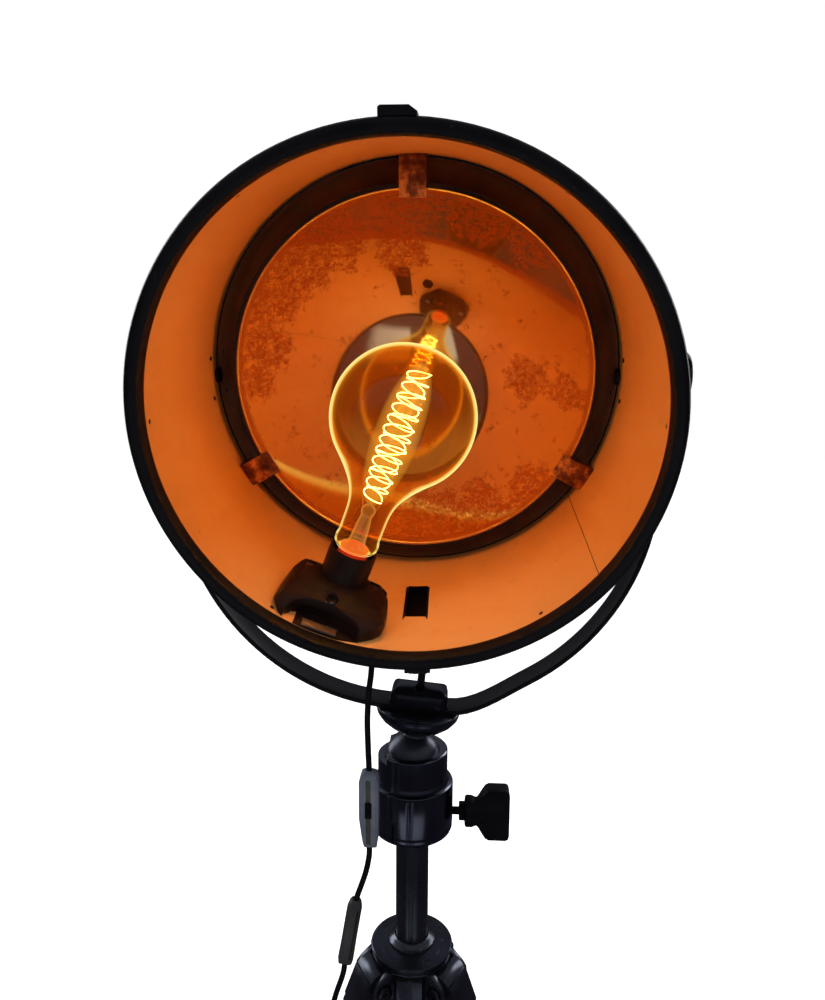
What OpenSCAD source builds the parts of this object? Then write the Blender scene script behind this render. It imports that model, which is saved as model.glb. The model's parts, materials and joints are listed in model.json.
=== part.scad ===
// Tripod floor lamp with a drum spotlight on a yoke and a ball head.
// Units: millimetres. +Z is up, the floor is z = 0, the drum opens towards -Y.

/* [Drum] */
// clear radius inside the drum
drum_r = 200; // [150:1:260]
// sheet thickness of drum and rear pan
sheet = 1.5; // [1:0.1:3]
// lit length, from the opening back to the rear pan
lit_len = 186; // [120:1:240]
// full length of the drum sheet
drum_len = 222; // [190:1:280]
// distance from the opening back to the tilt pins
pin_back = 186.3; // [150:0.1:200]
// downward tilt of the drum as it stands
drum_tilt = 12.1; // [-30:0.1:40]
// outer radius of the front ring
ring_r = 211.5; // [205:0.5:225]
// reach of the front ring ahead of the opening
ring_fore = 14; // [8:0.5:20]
// skirt of the front ring over the drum
ring_skirt = 13; // [8:0.5:24]

/* [Mirror] */
// rim radius of the mirror bowl
mirror_r = 172.5; // [140:0.5:190]
// distance from the opening back to the mirror rim
mirror_t = 160; // [130:1:175]
// depth of the mirror bowl
mirror_h = 97.5; // [60:0.5:120]
// glass thickness along the axis
mirror_w = 4.5; // [3:0.5:6]

/* [Lamp inside] */
// place of the lampholder round the drum, from the bottom
holder_phi = -20.6; // [-60:0.1:60]
// distance from the opening back to the lampholder axis
holder_t = 60; // [40:1:100]
// height of the lampholder sleeve above the drum wall
sleeve_h = 60; // [50:1:70]
// outer radius of the sleeve
sleeve_r = 21.9; // [19:0.1:26]
// radius of the bulb's globe
globe_r = 62.5; // [40:0.5:64]
// height of the globe's centre above the drum wall
globe_h = 190; // [150:1:200]
// turns of the filament spiral
fil_turns = 8; // [4:1:10]
// radius of the filament spiral
fil_r = 13; // [8:0.5:16]

/* [Yoke] */
// outer radius of the yoke's bend
yoke_r = 243.3; // [238:0.1:260]
// drop from the tilt pins to the centre of the bend
yoke_drop = 103.1; // [60:0.1:140]
// width of the yoke bar
yoke_w = 34; // [24:1:44]
// thickness of the yoke bar
yoke_t = 5; // [4:0.5:8]
// radius of the tilt pins
pin_r = 8; // [6:0.5:10]

/* [Ball head] */
// height of the tilt pins above the floor
pin_z = 1570; // [1300:5:1700]
// drop from the tilt pins to the ball's centre
ball_drop = 406; // [380:1:440]
// radius of the ball
ball_r = 30; // [24:0.5:34]
// sideways lean of the ball stem as it stands
stem_lean = 5.5; // [0:0.5:15]
// height of the yoke seat above the ball's centre
seat_h = 59; // [54:0.5:70]
// radius of the seat disc
disc_r = 44.2; // [38:0.1:50]
// radius of the head housing
house_r = 43.7; // [40:0.1:50]
// radius of the head cup
cup_r = 37.5; // [36:0.1:40]

/* [Column and shoulder] */
// radius of the column tube
col_r = 18; // [14:0.5:20]
// height of the shoulder ring's top edge above the floor
ring_z = 941; // [800:1:1050]
// outer radius of the shoulder ring
shoulder_r = 45.5; // [42:0.5:52]
// length of column held below the shoulder ring
col_in = 470; // [300:10:560]

/* [Legs] */
// spread of each leg from upright
leg_spread = 24; // [15:0.5:30]
// distance of the leg hinges from the column axis
hinge_r = 45; // [42:0.5:50]
// drop from the shoulder ring to the leg hinges
hinge_drop = 28; // [24:0.5:40]
// radius of the upper leg tube
leg_r = 16; // [12:0.5:18]
// radius of the lower leg tube
low_r = 12; // [9:0.5:14]
// distance along a leg from the hinge to the twist lock
lock_at = 520; // [400:5:640]

/* [Cord] */
// radius of the cord
cord_r = 3; // [2.5:0.25:4]
// sides of the cord's rings
cord_n = 8; // [6:1:10]

/* [Hidden] */
$fn = 96;
run = 0.05;                       // radial clearance of running fits
gap = 0.3;                        // clear distance between moving pieces
ball_z = pin_z - ball_drop;
hinge_z = ring_z - hinge_drop;
foot_len = hinge_z / cos(leg_spread);
foot_reach = hinge_r + hinge_z * tan(leg_spread);
// shift that puts the origin under the middle of the footprint
base_shift = -foot_reach / 4 - 0.45;
BLACK = [0.05, 0.05, 0.06];
GREY = [0.30, 0.31, 0.33];
DARK = [0.12, 0.12, 0.13];
STEEL = [0.62, 0.62, 0.64];

// ---------- frames of reference ----------
module at_col() { translate([0, base_shift, 0]) children(); }
module at_pin() { at_col() translate([0, 0, pin_z]) children(); }
// drum frame: local z runs along the drum axis towards the opening
module at_drum() { at_pin() rotate([90 + drum_tilt, 0, 0]) children(); }
// head frame: origin at the ball's centre, z up the leaning stem
module at_head() {
  at_col() translate([0, 0, ball_z]) rotate([0, stem_lean, 0]) children();
}
module around(phi) { rotate([0, 0, phi]) children(); }
// lampholder frame: z stands up from the drum wall, y points to the rear
module at_holder() {
  at_drum() around(holder_phi)
    translate([0, -drum_r, pin_back - holder_t]) rotate([-90, 0, 0]) children();
}
module at_leg(i) {
  at_col() rotate([0, 0, [-150, -30, 90][i]]) translate([hinge_r, 0, hinge_z])
    rotate([0, -leg_spread, 0]) children();
}
// revolve a list of [radius, t], t counted back from the opening
module revolve_t(pts) {
  rotate_extrude() polygon([for (p = pts) [p[0], pin_back - p[1]]]);
}
module revolve(pts) { rotate_extrude() polygon(pts); }

// ---------- sweeps ----------
function unit(v) = v / norm(v);
function tang(p, i) = unit(p[min(i + 1, len(p) - 1)] - p[max(i - 1, 0)]);
function ring_pts(c, t, a, r, n) =
  let (u = unit(cross(t, a)), w = cross(t, u))
  [for (k = [0:n - 1]) c + r * (cos(360 * k / n) * u + sin(360 * k / n) * w)];
module sweep(p, r, n, a) {
  m = len(p);
  pts = [for (i = [0:m - 1]) each ring_pts(p[i], tang(p, i), a, r, n)];
  polyhedron(points = pts, convexity = 12, faces = concat(
    [[for (k = [0:n - 1]) k], [for (k = [n - 1:-1:0]) (m - 1) * n + k]],
    [for (i = [0:m - 2], k = [0:n - 1])
      [i * n + k, (i + 1) * n + k, (i + 1) * n + (k + 1) % n]],
    [for (i = [0:m - 2], k = [0:n - 1])
      [i * n + k, (i + 1) * n + (k + 1) % n, i * n + (k + 1) % n]]));
}
// smooth curve through hand-placed route points, s steps per span
function spline(q, i, u) =
  let (a = q[max(i - 1, 0)], b = q[i], c = q[i + 1], d = q[min(i + 2, len(q) - 1)])
  0.5 * (2 * b + (c - a) * u + (2 * a - 5 * b + 4 * c - d) * u * u
    + (3 * b - a - 3 * c + d) * u * u * u);
function route(q, s) =
  [for (i = [0:len(q) - 2], k = [0:s - 1]) spline(q, i, k / s), q[len(q) - 1]];

// ---------- drum ----------
slot_phi = 1.6;
slot_w = 19;
slot_t0 = 59.5;
slot_t1 = 119.5;
module slot_box(w, t0, t1, lo, hi) {
  around(slot_phi) translate([-w / 2, -hi, pin_back - t1]) cube([w, hi - lo, t1 - t0]);
}
clip_t = 180.5;
module clip_holes(r) {
  for (a = [180, 60, -60]) around(a) translate([0, -190, pin_back - clip_t])
    rotate([90, 0, 0]) cylinder(r = r, h = 18);
}
gland_phi = -9.5;
gland_t = 92;
// places of the identical case screws; z points outward from the drum axis
ring_t = 7;
module ring_screw_spots() {
  for (a = [90, -90, 35, -35, 145, -145]) around(a)
    translate([0, 0, pin_back - ring_t]) rotate([90, 0, 0]) children();
}
module flange_screw_spots() {
  for (s = [-1, 1], k = [0:3]) rotate([0, 90 * s, 0]) rotate([0, 0, 45 + 90 * k])
    translate([28, 0, 0]) children();
}
module at_gland() {
  at_drum() around(gland_phi) translate([0, -drum_r, pin_back - gland_t])
    rotate([90, 0, 0]) children();
}
module drum_barrel() color([0.85, 0.45, 0.2]) at_drum() difference() {
  union() {
    revolve_t([[drum_r, 0], [drum_r + sheet, 0], [drum_r + sheet, drum_len],
      [drum_r, drum_len]]);
    // two rolled beads that stiffen the sheet
    for (t = [46, 128]) rotate_extrude()
      translate([drum_r + sheet - 0.4, pin_back - t]) circle(r = 1.8);
  }
  // beads are outside only
  translate([0, 0, pin_back - drum_len - 1]) cylinder(r = drum_r, h = drum_len + 2);
  // lapped seam, seen as a fine line inside
  around(52.3) translate([-0.35, -drum_r - 0.5, pin_back - lit_len])
    cube([0.7, 1, lit_len + 1]);
  slot_box(slot_w, slot_t0, slot_t1, 190, 210);
  // worn paint edge round the slot
  slot_box(slot_w + 4.4, slot_t0 - 6.5, slot_t1 - 2, 199, drum_r + 0.35);
  clip_holes(2.1);
  around(gland_phi) translate([0, -190, pin_back - gland_t])
    rotate([90, 0, 0]) cylinder(r = 6.1, h = 18);
  // windows for the trunnion bolts and the screws
  rotate([0, 90, 0]) cylinder(r = pin_r, h = 460, center = true);
  ring_screw_spots() cylinder(r = 2.05, h = 230);
  flange_screw_spots() cylinder(r = 2.05, h = 230);
}
// folded rim: a channel with a rounded nose, its inner leg over the drum sheet
module front_ring() color(BLACK) at_drum() difference() {
  revolve_t([[drum_r, 0], [drum_r, -ring_fore + 3], [drum_r + 1, -ring_fore + 1],
    [drum_r + 2.8, -ring_fore], [ring_r - 3.4, -ring_fore],
    [ring_r - 1.2, -ring_fore + 0.9], [ring_r, -ring_fore + 2.8],
    [ring_r, ring_skirt], [ring_r - 1.9, ring_skirt],
    [ring_r - 1.9, -ring_fore + 3.6], [ring_r - 3.2, -ring_fore + 2.2],
    [drum_r + 4, -ring_fore + 2.2], [drum_r + 3.3, -ring_fore + 3.2],
    [drum_r + 3.3, ring_skirt], [drum_r + sheet, ring_skirt], [drum_r + sheet, 0]]);
  ring_screw_spots() cylinder(r = 2.05, h = 230);
}
module ring_lugs() color(BLACK) at_drum() difference() {
  union() {
    // top stop with one chamfered corner
    translate([0, 0, pin_back - 8]) linear_extrude(20) polygon([[-13.5, 205],
      [-13.5, ring_r + 5], [-12, ring_r + 6.2], [7, ring_r + 6.2],
      [12.5, ring_r + 2.4], [12.5, 205]]);
    // bottom catch, a plate under a stepped nut
    around(2.9) {
      translate([-11, -ring_r - 3.4, pin_back - 6]) cube([22, 8, 17]);
      translate([-7.5, -ring_r - 5.6, pin_back - 3.5]) cube([16, 6, 12]);
      translate([-2, -ring_r - 7, pin_back + 2.5]) rotate([-90, 0, 0])
        cylinder(r = 4.6, h = 5);
    }
  }
  translate([0, 0, pin_back - 60]) cylinder(r = ring_r, h = 120, $fn = 384);
}
module rear_pan() color(BLACK) at_drum() difference() {
  revolve_t([[drum_r, lit_len], [drum_r, drum_len], [drum_r + 3.5, drum_len],
    [drum_r + 3.5, 226], [196, 233], [180, 244], [150, 262], [118, 274],
    [112, 280], [80, 286], [40, 290], [0, 291], [0, 289.4], [40, 288.4],
    [79.6, 284.4], [111, 278.6], [117, 272.5], [149.2, 260.6], [179, 242.6],
    [194.8, 231.8], [drum_r - sheet, 225], [drum_r - sheet, lit_len]]);
  // vent slots in two rings
  for (i = [0:17]) rotate([0, 0, 20 * i]) {
    translate([-3, 136, pin_back - 282]) cube([6, 30, 60]);
    if (i % 2 == 0) translate([-2.5, 62, pin_back - 300]) cube([5, 34, 40]);
  }
  rotate([0, 90, 0]) cylinder(r = pin_r, h = 460, center = true);
  flange_screw_spots() cylinder(r = 2.05, h = 230);
}
module slot_hood() color(BLACK) at_drum() difference() {
  around(slot_phi) translate([0, 0, pin_back - 124]) linear_extrude(70)
    polygon([[-19, -190], [-19, -206], [-14, -216], [14, -216], [19, -206],
      [19, -190]]);
  translate([0, 0, pin_back - 200]) cylinder(r = drum_r + sheet, h = 200);
  // dark box behind the slot
  around(slot_phi) translate([-12, -214.2, pin_back - 122.4]) cube([24, 16, 66.8]);
}

// ---------- mirror ----------
function bowl(r) = mirror_t + mirror_h * (1 - r * r / (mirror_r * mirror_r));
module mirror_glass() color([0.9, 0.65, 0.35]) at_drum()
  revolve_t(concat([for (i = [0:20]) [mirror_r * i / 20, bowl(mirror_r * i / 20)]],
    [[mirror_r + 4, mirror_t], [mirror_r + 4, mirror_t + 5]],
    [for (i = [19:-1:0]) [mirror_r * i / 20, bowl(mirror_r * i / 20) + mirror_w]]));
module mirror_clips() color([0.15, 0.09, 0.06]) at_drum() difference() {
  for (a = [180, 60, -60]) around(a) translate([-12, 0, 0]) rotate([90, 0, 90])
    linear_extrude(24) polygon([for (p = [[204, 185], [204, 166], [196, 161.2],
      [188, 157.6], [164, 157.6], [164, 160], [176.5, 160], [176.5, 165.4],
      [172.5, 168.6], [172.5, 171], [186, 171], [198, 175], [198, 185]])
      [-p[0], pin_back - p[1]]]);
  difference() {
    translate([0, 0, -60]) cylinder(r = 240, h = 160);
    translate([0, 0, -61]) cylinder(r = drum_r, h = 162);
  }
  clip_holes(2);
}
module clip_screws() color(STEEL) at_drum()
  for (a = [180, 60, -60]) around(a) translate([0, 0, pin_back - clip_t])
    rotate([90, 0, 0]) difference() {
      union() {
        translate([0, 0, 197]) cylinder(r = 2, h = 8.6);
        translate([0, 0, 195]) intersection() {
          cylinder(r = 3.8, h = 3);
          translate([0, 0, 5.2]) sphere(r = 5.6);
        }
        translate([0, 0, 201.6]) cylinder(r = 4, h = 3.2, $fn = 6);
      }
      translate([-0.5, -5, 194]) cube([1, 10, 1.9]);
    }
module case_screw(top, reach) difference() {
  union() {
    translate([0, 0, top - reach]) cylinder(r = 2, h = reach);
    translate([0, 0, top]) intersection() {
      cylinder(r = 3.6, h = 2.2);
      translate([0, 0, -2.6]) sphere(r = 4.9);
    }
  }
  translate([-0.5, -5, top + 1.2]) cube([1, 10, 2]);
}
module case_screws() color(DARK) at_drum() {
  ring_screw_spots() case_screw(ring_r, 11.4);
  flange_screw_spots() case_screw(204.5, 6.5);
}
module trunnion_pins() color(GREY) at_drum() for (s = [-1, 1])
  rotate([0, 90 * s, 0]) difference() {
    union() {
      translate([0, 0, 196]) cylinder(r = 34, h = 8.5);
      revolve([[0, 196], [22, 196], [22, 207], [20, 209], [20, 235],
        [19, 238], [0, 238]]);
      cylinder(r = pin_r, h = 260);
    }
    for (k = [0:3]) rotate([0, 0, 45 + 90 * k]) translate([28, 0, 190])
      cylinder(r = 2.05, h = 20);
    // saddle that fits the drum sheet; the pin's tail ends at the liner
    rotate([0, -90 * s, 0]) difference() {
      cylinder(r = drum_r + sheet, h = 90, center = true);
      rotate([0, 90, 0]) cylinder(r = pin_r - 0.01, h = 460, center = true);
    }
    translate([0, 0, -1]) cylinder(r = 50, h = drum_r - sheet - 1);
  }

// ---------- lampholder and bulb ----------
module lampholder_base() color([0.13, 0.06, 0.04]) at_holder() difference() {
  intersection() {
    // plan: blunt to the opening, drawn in at the rear corners
    translate([0, 0, -8]) linear_extrude(60) polygon([[-52, -39], [-50, -12],
      [-46, 3], [-42, 12], [-33, 20], [-24, 25], [20, 26], [34, 13], [46, 2],
      [50, -10], [50, -24], [47.7, -38.7], [41.5, -47], [29.5, -56],
      [11, -59.5], [-37, -59.5], [-44, -55]]);
    // side view across the drum, rising to the sleeve
    rotate([90, 0, 0]) translate([0, 0, -40]) linear_extrude(110)
      polygon([[-53, -8], [-53, 7], [-50, 14], [-46.5, 20], [-38, 26], [-24, 31],
        [24, 31], [38, 26], [46.5, 20], [49, 14], [51, 7], [51, -8]]);
    // side view along the drum
    rotate([90, 0, 90]) translate([0, 0, -60]) linear_extrude(120)
      polygon([[-61, -8], [-60, 3], [-56, 10], [-50, 16], [-40, 21.5], [-22, 31],
        [3, 31], [12, 27], [22, 22.6], [26, 17], [30, 8], [34, -8]]);
    // follows the drum wall
    rotate([90, 0, 0]) translate([0, drum_r, -80]) cylinder(r = drum_r, h = 160);
  }
  // bay for the terminal strip at the front, undercut below its lintel
  translate([0, 0, bay_floor]) linear_extrude(40) polygon([[-41, -66], [-39, -54],
    [-35, -48], [-27, -43.5], [-17, -41], [0, -41], [10, -44.5], [20, -47.5],
    [27, -52], [31, -66]]);
  translate([0, 0, bay_floor]) linear_extrude(10) polygon([[-38, -60], [-34, -44],
    [-26, -38.5], [-17, -35.5], [0, -35.5], [10, -39], [20, -42.5], [26, -48],
    [28, -60]]);
  // hollow for the wiring
  translate([-26, -30, -9]) cube([52, 46, 26]);
  translate([0, 0, 10]) cylinder(r = 13.9, h = 30);
  translate([0, 0, 22]) cylinder(r = sleeve_r, h = 30);
  for (p = base_bolts) {
    translate([p[0], p[1], p[3]]) cylinder(r = 1.8, h = 40);
    translate([p[0], p[1], p[2]]) cylinder(r = 5.2, h = 20);
  }
}
bay_floor = 2.2;
// x, y, seat height and lower end of the screws in the base
base_bolts = [[-3, -36, 21, 13], [-33, 5, 24.5, 4], [30, 4, 24.5, 4]];
module base_screws() color(STEEL) at_holder() for (p = base_bolts)
  translate([p[0], p[1], p[2]]) difference() {
    union() {
      translate([0, 0, p[3] - p[2]]) cylinder(r = 1.8, h = p[2] - p[3] + 0.5);
      cylinder(r = 4.6, h = 2);
    }
    translate([-5, -0.5, 1.1]) cube([10, 1, 2]);
  }
module base_strip() color([0.62, 0.52, 0.45]) at_holder()
  translate([-22, -59.3, bay_floor]) cube([31.7, 10.3, 1.8]);
module lampholder_sleeve() color([0.12, 0.06, 0.04]) at_holder()
  revolve([[15.4, 22], [sleeve_r, 22], [sleeve_r, sleeve_h - 1.5],
    [sleeve_r - 0.8, sleeve_h], [20.6, sleeve_h], [20.2, sleeve_h - 1],
    [20.2, 27], [15.4, 25]]);
module socket_shell() color([0.72, 0.55, 0.28]) at_holder() difference() {
  union() {
    translate([0, 0, 0.6]) cylinder(r = 13.9, h = 23.4);
    translate([0, 0, 22]) cylinder(r = 15.4, h = 30);
  }
  translate([0, 0, -1]) cylinder(r = 12, h = 13);
  translate([0, 0, 20.4]) cylinder(r = 13.3, h = 40);
  translate([0, 0, 18]) cylinder(r = 6, h = 10);
}
neck = [[19.2, 74], [20.3, 69], [20, 64.6], [17.6, 61.6], [14.2, 60.4]];
function globe_p(a, r) = [r * cos(a), globe_h + r * sin(a)];
// flank between globe and neck: a cubic from 42 degrees under the equator
function flank(u, r) =
  let (p0 = globe_p(-42, r), d0 = [-sin(42), -cos(42)] * 44,
    p3 = [neck[0][0] + (r - globe_r), 80], p2 = p3 + [0.2, 26], p1 = p0 + d0, v = 1 - u)
  v * v * v * p0 + 3 * v * v * u * p1 + 3 * v * u * u * p2 + u * u * u * p3;
function glass(d) = concat(
  [for (i = [0:22]) globe_p(90 - 6 * i, globe_r - d)],
  [for (i = [1:9]) flank(i / 9, globe_r - d)],
  [for (p = neck) [p[0] - d, p[1] + (p[0] < 18 ? d : 0)]]);
function flip(v) = [for (i = [len(v) - 1:-1:0]) v[i]];
module bulb_glass() color([1, 0.75, 0.4, 0.35]) at_holder()
  revolve(concat(glass(0), flip(glass(1))));
module bulb_cap() color([0.75, 0.62, 0.35]) at_holder() difference() {
  // screw cap with a rolled thread and a skirt that widens to the neck
  revolve(concat([[0, 18.2], [4.5, 18.2], [4.5, 20.6], [9.5, 26]],
    [for (i = [0:9]) [i % 2 == 0 ? 13.1 : 12.4, 27.4 + 2 * i]],
    [[12.6, 48], [14.2, 58.6], [14.2, 60.4], [0, 60.4]]));
  translate([0, 0, 32]) cylinder(r = 11, h = 60);
}
module bulb_stem() color([1, 0.8, 0.55, 0.5]) at_holder() {
  // lead-in wires up to the filament's lower end, and its top hook
  for (s = [-1, 1]) translate([5 * s, 0, 98]) rotate([0, 17 * s, 0])
    cylinder(r = 0.6, h = 14.8);
  translate([0, 0, fil_z1]) rotate([0, 90, 0]) cylinder(r = 0.6, h = fil_r * 0.72);
  revolve([[0, 60.4], [13.2, 60.4], [13.2, 61.8], [9, 63], [7.4, 70], [6.4, 84],
    [5, 94], [6.2, 97], [6.6, 100], [5, 103.4], [1.6, 105], [1.2, 110],
    [1.2, 236], [2.4, 238], [2.4, 241], [0, 243]]);
}
fil_z0 = 112;
fil_z1 = 232;
fil_pitch = (fil_z1 - fil_z0) / fil_turns;
function fil_path() = [for (i = [0:24 * fil_turns])
  let (u = i / (24 * fil_turns), r = fil_r * (0.72 + 0.28 * sin(180 * u)))
  [r * cos(360 * fil_turns * u), r * sin(360 * fil_turns * u),
    fil_z0 + (fil_z1 - fil_z0) * u]];
module filament() color([1, 0.95, 0.7]) at_holder()
  sweep(fil_path(), 0.7, 6, [0, 0, 1]);
fil_gap = min([for (i = [0:len(fil_path()) - 13], j = [i + 12:2:min(i + 48, len(fil_path()) - 1)])
  norm(fil_path()[i] - fil_path()[j])]) - 1.4;
echo(filament_gap = fil_gap);
gland_h = 27;
module cable_gland() color(BLACK) at_gland() difference() {
  union() {
    translate([0, 0, -3]) cylinder(r = 6, h = 12);
    translate([0, 0, -5.3]) cylinder(r = 9, h = 5, $fn = 6);
    translate([0, 0, sheet]) cylinder(r = 9.5, h = 6, $fn = 6);
    revolve([[0, 6], [7.6, 6], [8, 9], [8, 13], [7, 15], [4.2, gland_h], [0, gland_h]]);
  }
  translate([0, 0, -8]) cylinder(r = cord_r, h = 40);
}

// ---------- yoke ----------
yc = yoke_r - yoke_t / 2;
seat_half = 30;
blend_x = 120;
// middle of the bar above the seat disc
seat_x0 = sin(stem_lean) * (seat_h + yoke_t / 2);
seat_z = -ball_drop + cos(stem_lean) * (seat_h + yoke_t / 2);
function seat_line(x) = seat_z - (x - seat_x0) * tan(stem_lean);
function hermite(a, sa, b, sb, w, u) =
  a * (2 * u * u * u - 3 * u * u + 1) + sa * w * (u * u * u - 2 * u * u + u)
  + b * (3 * u * u - 2 * u * u * u) + sb * w * (u * u * u - u * u);
bl_y = -yoke_drop - sqrt(yc * yc - blend_x * blend_x);
bl_s = blend_x / sqrt(yc * yc - blend_x * blend_x);
xr = seat_x0 + seat_half;
xl = seat_x0 - seat_half;
// centre line of the bar in the plane of the yoke, from right pin to left pin
function yoke_line() = concat(
  [[yc, 0]],
  [for (i = [0:20]) let (a = i / 20 * acos(blend_x / yc))
    [yc * cos(a), -yoke_drop - yc * sin(a)]],
  [for (i = [1:8]) let (u = i / 8) [blend_x + (xr - blend_x) * u,
    hermite(bl_y, -bl_s, seat_line(xr), tan(stem_lean), blend_x - xr, u)]],
  [for (i = [0:8]) let (u = i / 8) [xl + (-blend_x - xl) * u,
    hermite(seat_line(xl), tan(stem_lean), bl_y, bl_s, blend_x + xl, u)]],
  [for (i = [1:20]) let (a = (20 - i) / 20 * acos(blend_x / yc))
    [-yc * cos(a), -yoke_drop - yc * sin(a)]],
  [[-yc, 0]]);
function side(p, d) = [for (i = [0:len(p) - 1])
  let (t = i == 0 ? [0, -1] : i == len(p) - 1 ? [0, 1] : unit(p[i + 1] - p[i - 1]))
  p[i] + d * [t[1], -t[0]]];
module yoke_bar() color(BLACK) difference() {
  at_pin() union() {
    rotate([90, 0, 0]) translate([0, 0, -yoke_w / 2]) linear_extrude(yoke_w)
      polygon(concat(side(yoke_line(), yoke_t / 2),
        flip(side(yoke_line(), -yoke_t / 2))));
    for (s = [-1, 1]) rotate([0, 90 * s, 0]) translate([0, 0, yoke_r - yoke_t])
      cylinder(r = yoke_w / 2, h = yoke_t);
  }
  at_pin() rotate([0, 90, 0]) cylinder(r = pin_r + run, h = 560, center = true);
  at_head() cylinder(r = 4.2, h = 120);
}
module yoke_block() color(DARK) at_head() difference() {
  intersection() {
    translate([0, 0, seat_h + yoke_t]) union() {
      rotate([90, 0, 0]) translate([0, 0, -30]) linear_extrude(60)
        polygon([[-30, 0], [-30, 9], [-28.5, 14], [-24, 17.8], [-18, 19],
          [18, 19], [24, 17.8], [28.5, 14], [30, 9], [30, 0]]);
      translate([-31, -20, 0]) cube([62, 40, 2.6]);
    }
    translate([0, 0, seat_h + yoke_t]) rotate([90, 0, 90])
      translate([0, 0, -40]) linear_extrude(80)
      polygon([[-20, 0], [-20, 6], [-18, 12], [-13, 17], [-7, 19], [7, 19],
        [13, 17], [18, 12], [20, 6], [20, 0]]);
    translate([0, 0, seat_h]) linear_extrude(40) polygon([[-31, -12],
      [-22, -20], [22, -20], [31, -12], [31, 12], [22, 20], [-22, 20],
      [-31, 12]]);
  }
  cylinder(r = 4.1, h = 120);
  // notch across the top at the stud
  translate([-4, -40, seat_h + yoke_t + 15]) cube([8, 80, 10]);
}
module yoke_stud() color(BLACK) at_head() difference() {
  translate([0, 0, 34]) cylinder(r = 4.1, h = 74);
  translate([-5, -0.6, 106.4]) cube([10, 1.2, 4]);
}
module knob(s) at_pin() rotate([0, 90 * s, 0]) difference() {
  revolve([[0, yoke_r + gap], [14, yoke_r + gap], [14, yoke_r + 4],
    [26, yoke_r + 6.5], [27, yoke_r + 9], [26.6, yoke_r + 17],
    [23, yoke_r + 21], [10, yoke_r + 22.5], [0, yoke_r + 22.5]]);
  // finger scallops
  for (k = [0:5]) rotate([0, 0, 60 * k]) translate([32.5, 0, yoke_r - 1])
    cylinder(r = 9.5, h = 30);
  translate([0, 0, 200]) cylinder(r = pin_r + run, h = 60.4);
}
module knob_left() color(BLACK) knob(-1);
module knob_right() color(BLACK) knob(1);

// ---------- ball head ----------
neck_top = 30;                    // where the ball's neck meets the seat disc
module seat_disc() color(DARK) at_head() difference() {
  revolve([[0, seat_h], [disc_r - 1.6, seat_h], [disc_r, seat_h - 1.6],
    [disc_r, seat_h - 5], [disc_r - 1, seat_h - 8], [disc_r - 5.5, seat_h - 13.8],
    [disc_r - 13, seat_h - 19.8], [disc_r - 22, seat_h - 24.4], [17, 31.4],
    [11.8, neck_top], [0, neck_top]]);
  translate([0, 0, 20]) cylinder(r = 9, h = 20);
  cylinder(r = 4.1, h = 90);
}
module ball_stem() color(GREY) at_head() difference() {
  union() {
    sphere(r = ball_r);
    revolve([[0, 0], [17, 0], [17, 24.4], [13.6, 26.6], [11.8, neck_top],
      [9 - run, neck_top], [9 - run, 39.9], [0, 39.9]]);
  }
  translate([0, 0, 34]) cylinder(r = 4.1, h = 20);
}
module head_cup() color(GREY) at_col() translate([0, 0, ball_z]) difference() {
  revolve([[ball_r + gap, -24], [ball_r + gap, 0],
    for (a = [4:4:20]) [(ball_r + gap) * cos(a), (ball_r + gap) * sin(a)],
    [cup_r - 6, 11.2], [cup_r - 1.4, 11.2], [cup_r, 9.8], [cup_r, -18],
    [cup_r + 2.5, -24]]);
  // lowered lip on the left side
  translate([-60, -30, 3.4]) cube([34, 60, 20]);
}
col_top = 480;                    // drop from the tilt pins to the column's top end
module head_housing() color(GREY) at_col() translate([0, 0, pin_z]) difference() {
  revolve([[30.6, -430], [cup_r + 2.5, -430], [house_r - 0.6, -431.6],
      [house_r, -433], [house_r, -476.6], [house_r - 1, -477.6],
      [house_r - 0.4, -479], [house_r - 0.4, -483], [house_r - 1.4, -485.6],
      [house_r - 3.6, -487.4], [house_r - 8, -488.6], [col_r + 2, -490.5],
      [col_r, -490.5], [col_r, -col_top], [12, -col_top], [12, -476],
      [30.6, -476]]);
  // two fine clamp lines at the front
  for (x = [-3, 1.4]) translate([x, -50, -500]) cube([1, 7.2, 63]);
  translate([0, 0, -467.5]) rotate([0, 90, 0]) cylinder(r = 4.2 + run, h = 60);
}
module ball_saddle() color(STEEL) at_col() translate([0, 0, ball_z]) difference() {
  revolve([[0, -52], [18, -52], [22, -46], [ball_r, -40], [ball_r, -20],
    [0, -20]]);
  sphere(r = ball_r + gap);
}
module lock_knob() color(BLACK) at_col() translate([0, 0, pin_z - 467.5]) {
  rotate([0, 90, 0]) revolve([[0, 33], [4.2, 33], [4.2, 50.5], [9, 50.5],
    [10, 51.5], [10, 56.5], [15, 57], [16.5, 58.5], [16.5, 64], [15, 68],
    [13, 74], [12, 80], [0, 80]]);
  // T-bar with rounded ends and a waist into the collar
  translate([0, 9, 0]) rotate([90, 0, 0]) linear_extrude(18) polygon([
    [66, -9], [66, 9], [71, 13], [75, 20], [79, 26.4], [83, 28.6], [101, 28.6],
    [104, 27], [105, 23], [105, -23], [104, -27], [101, -28.6], [83, -28.6],
    [79, -26.4], [75, -20], [71, -13]]);
}

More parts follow.
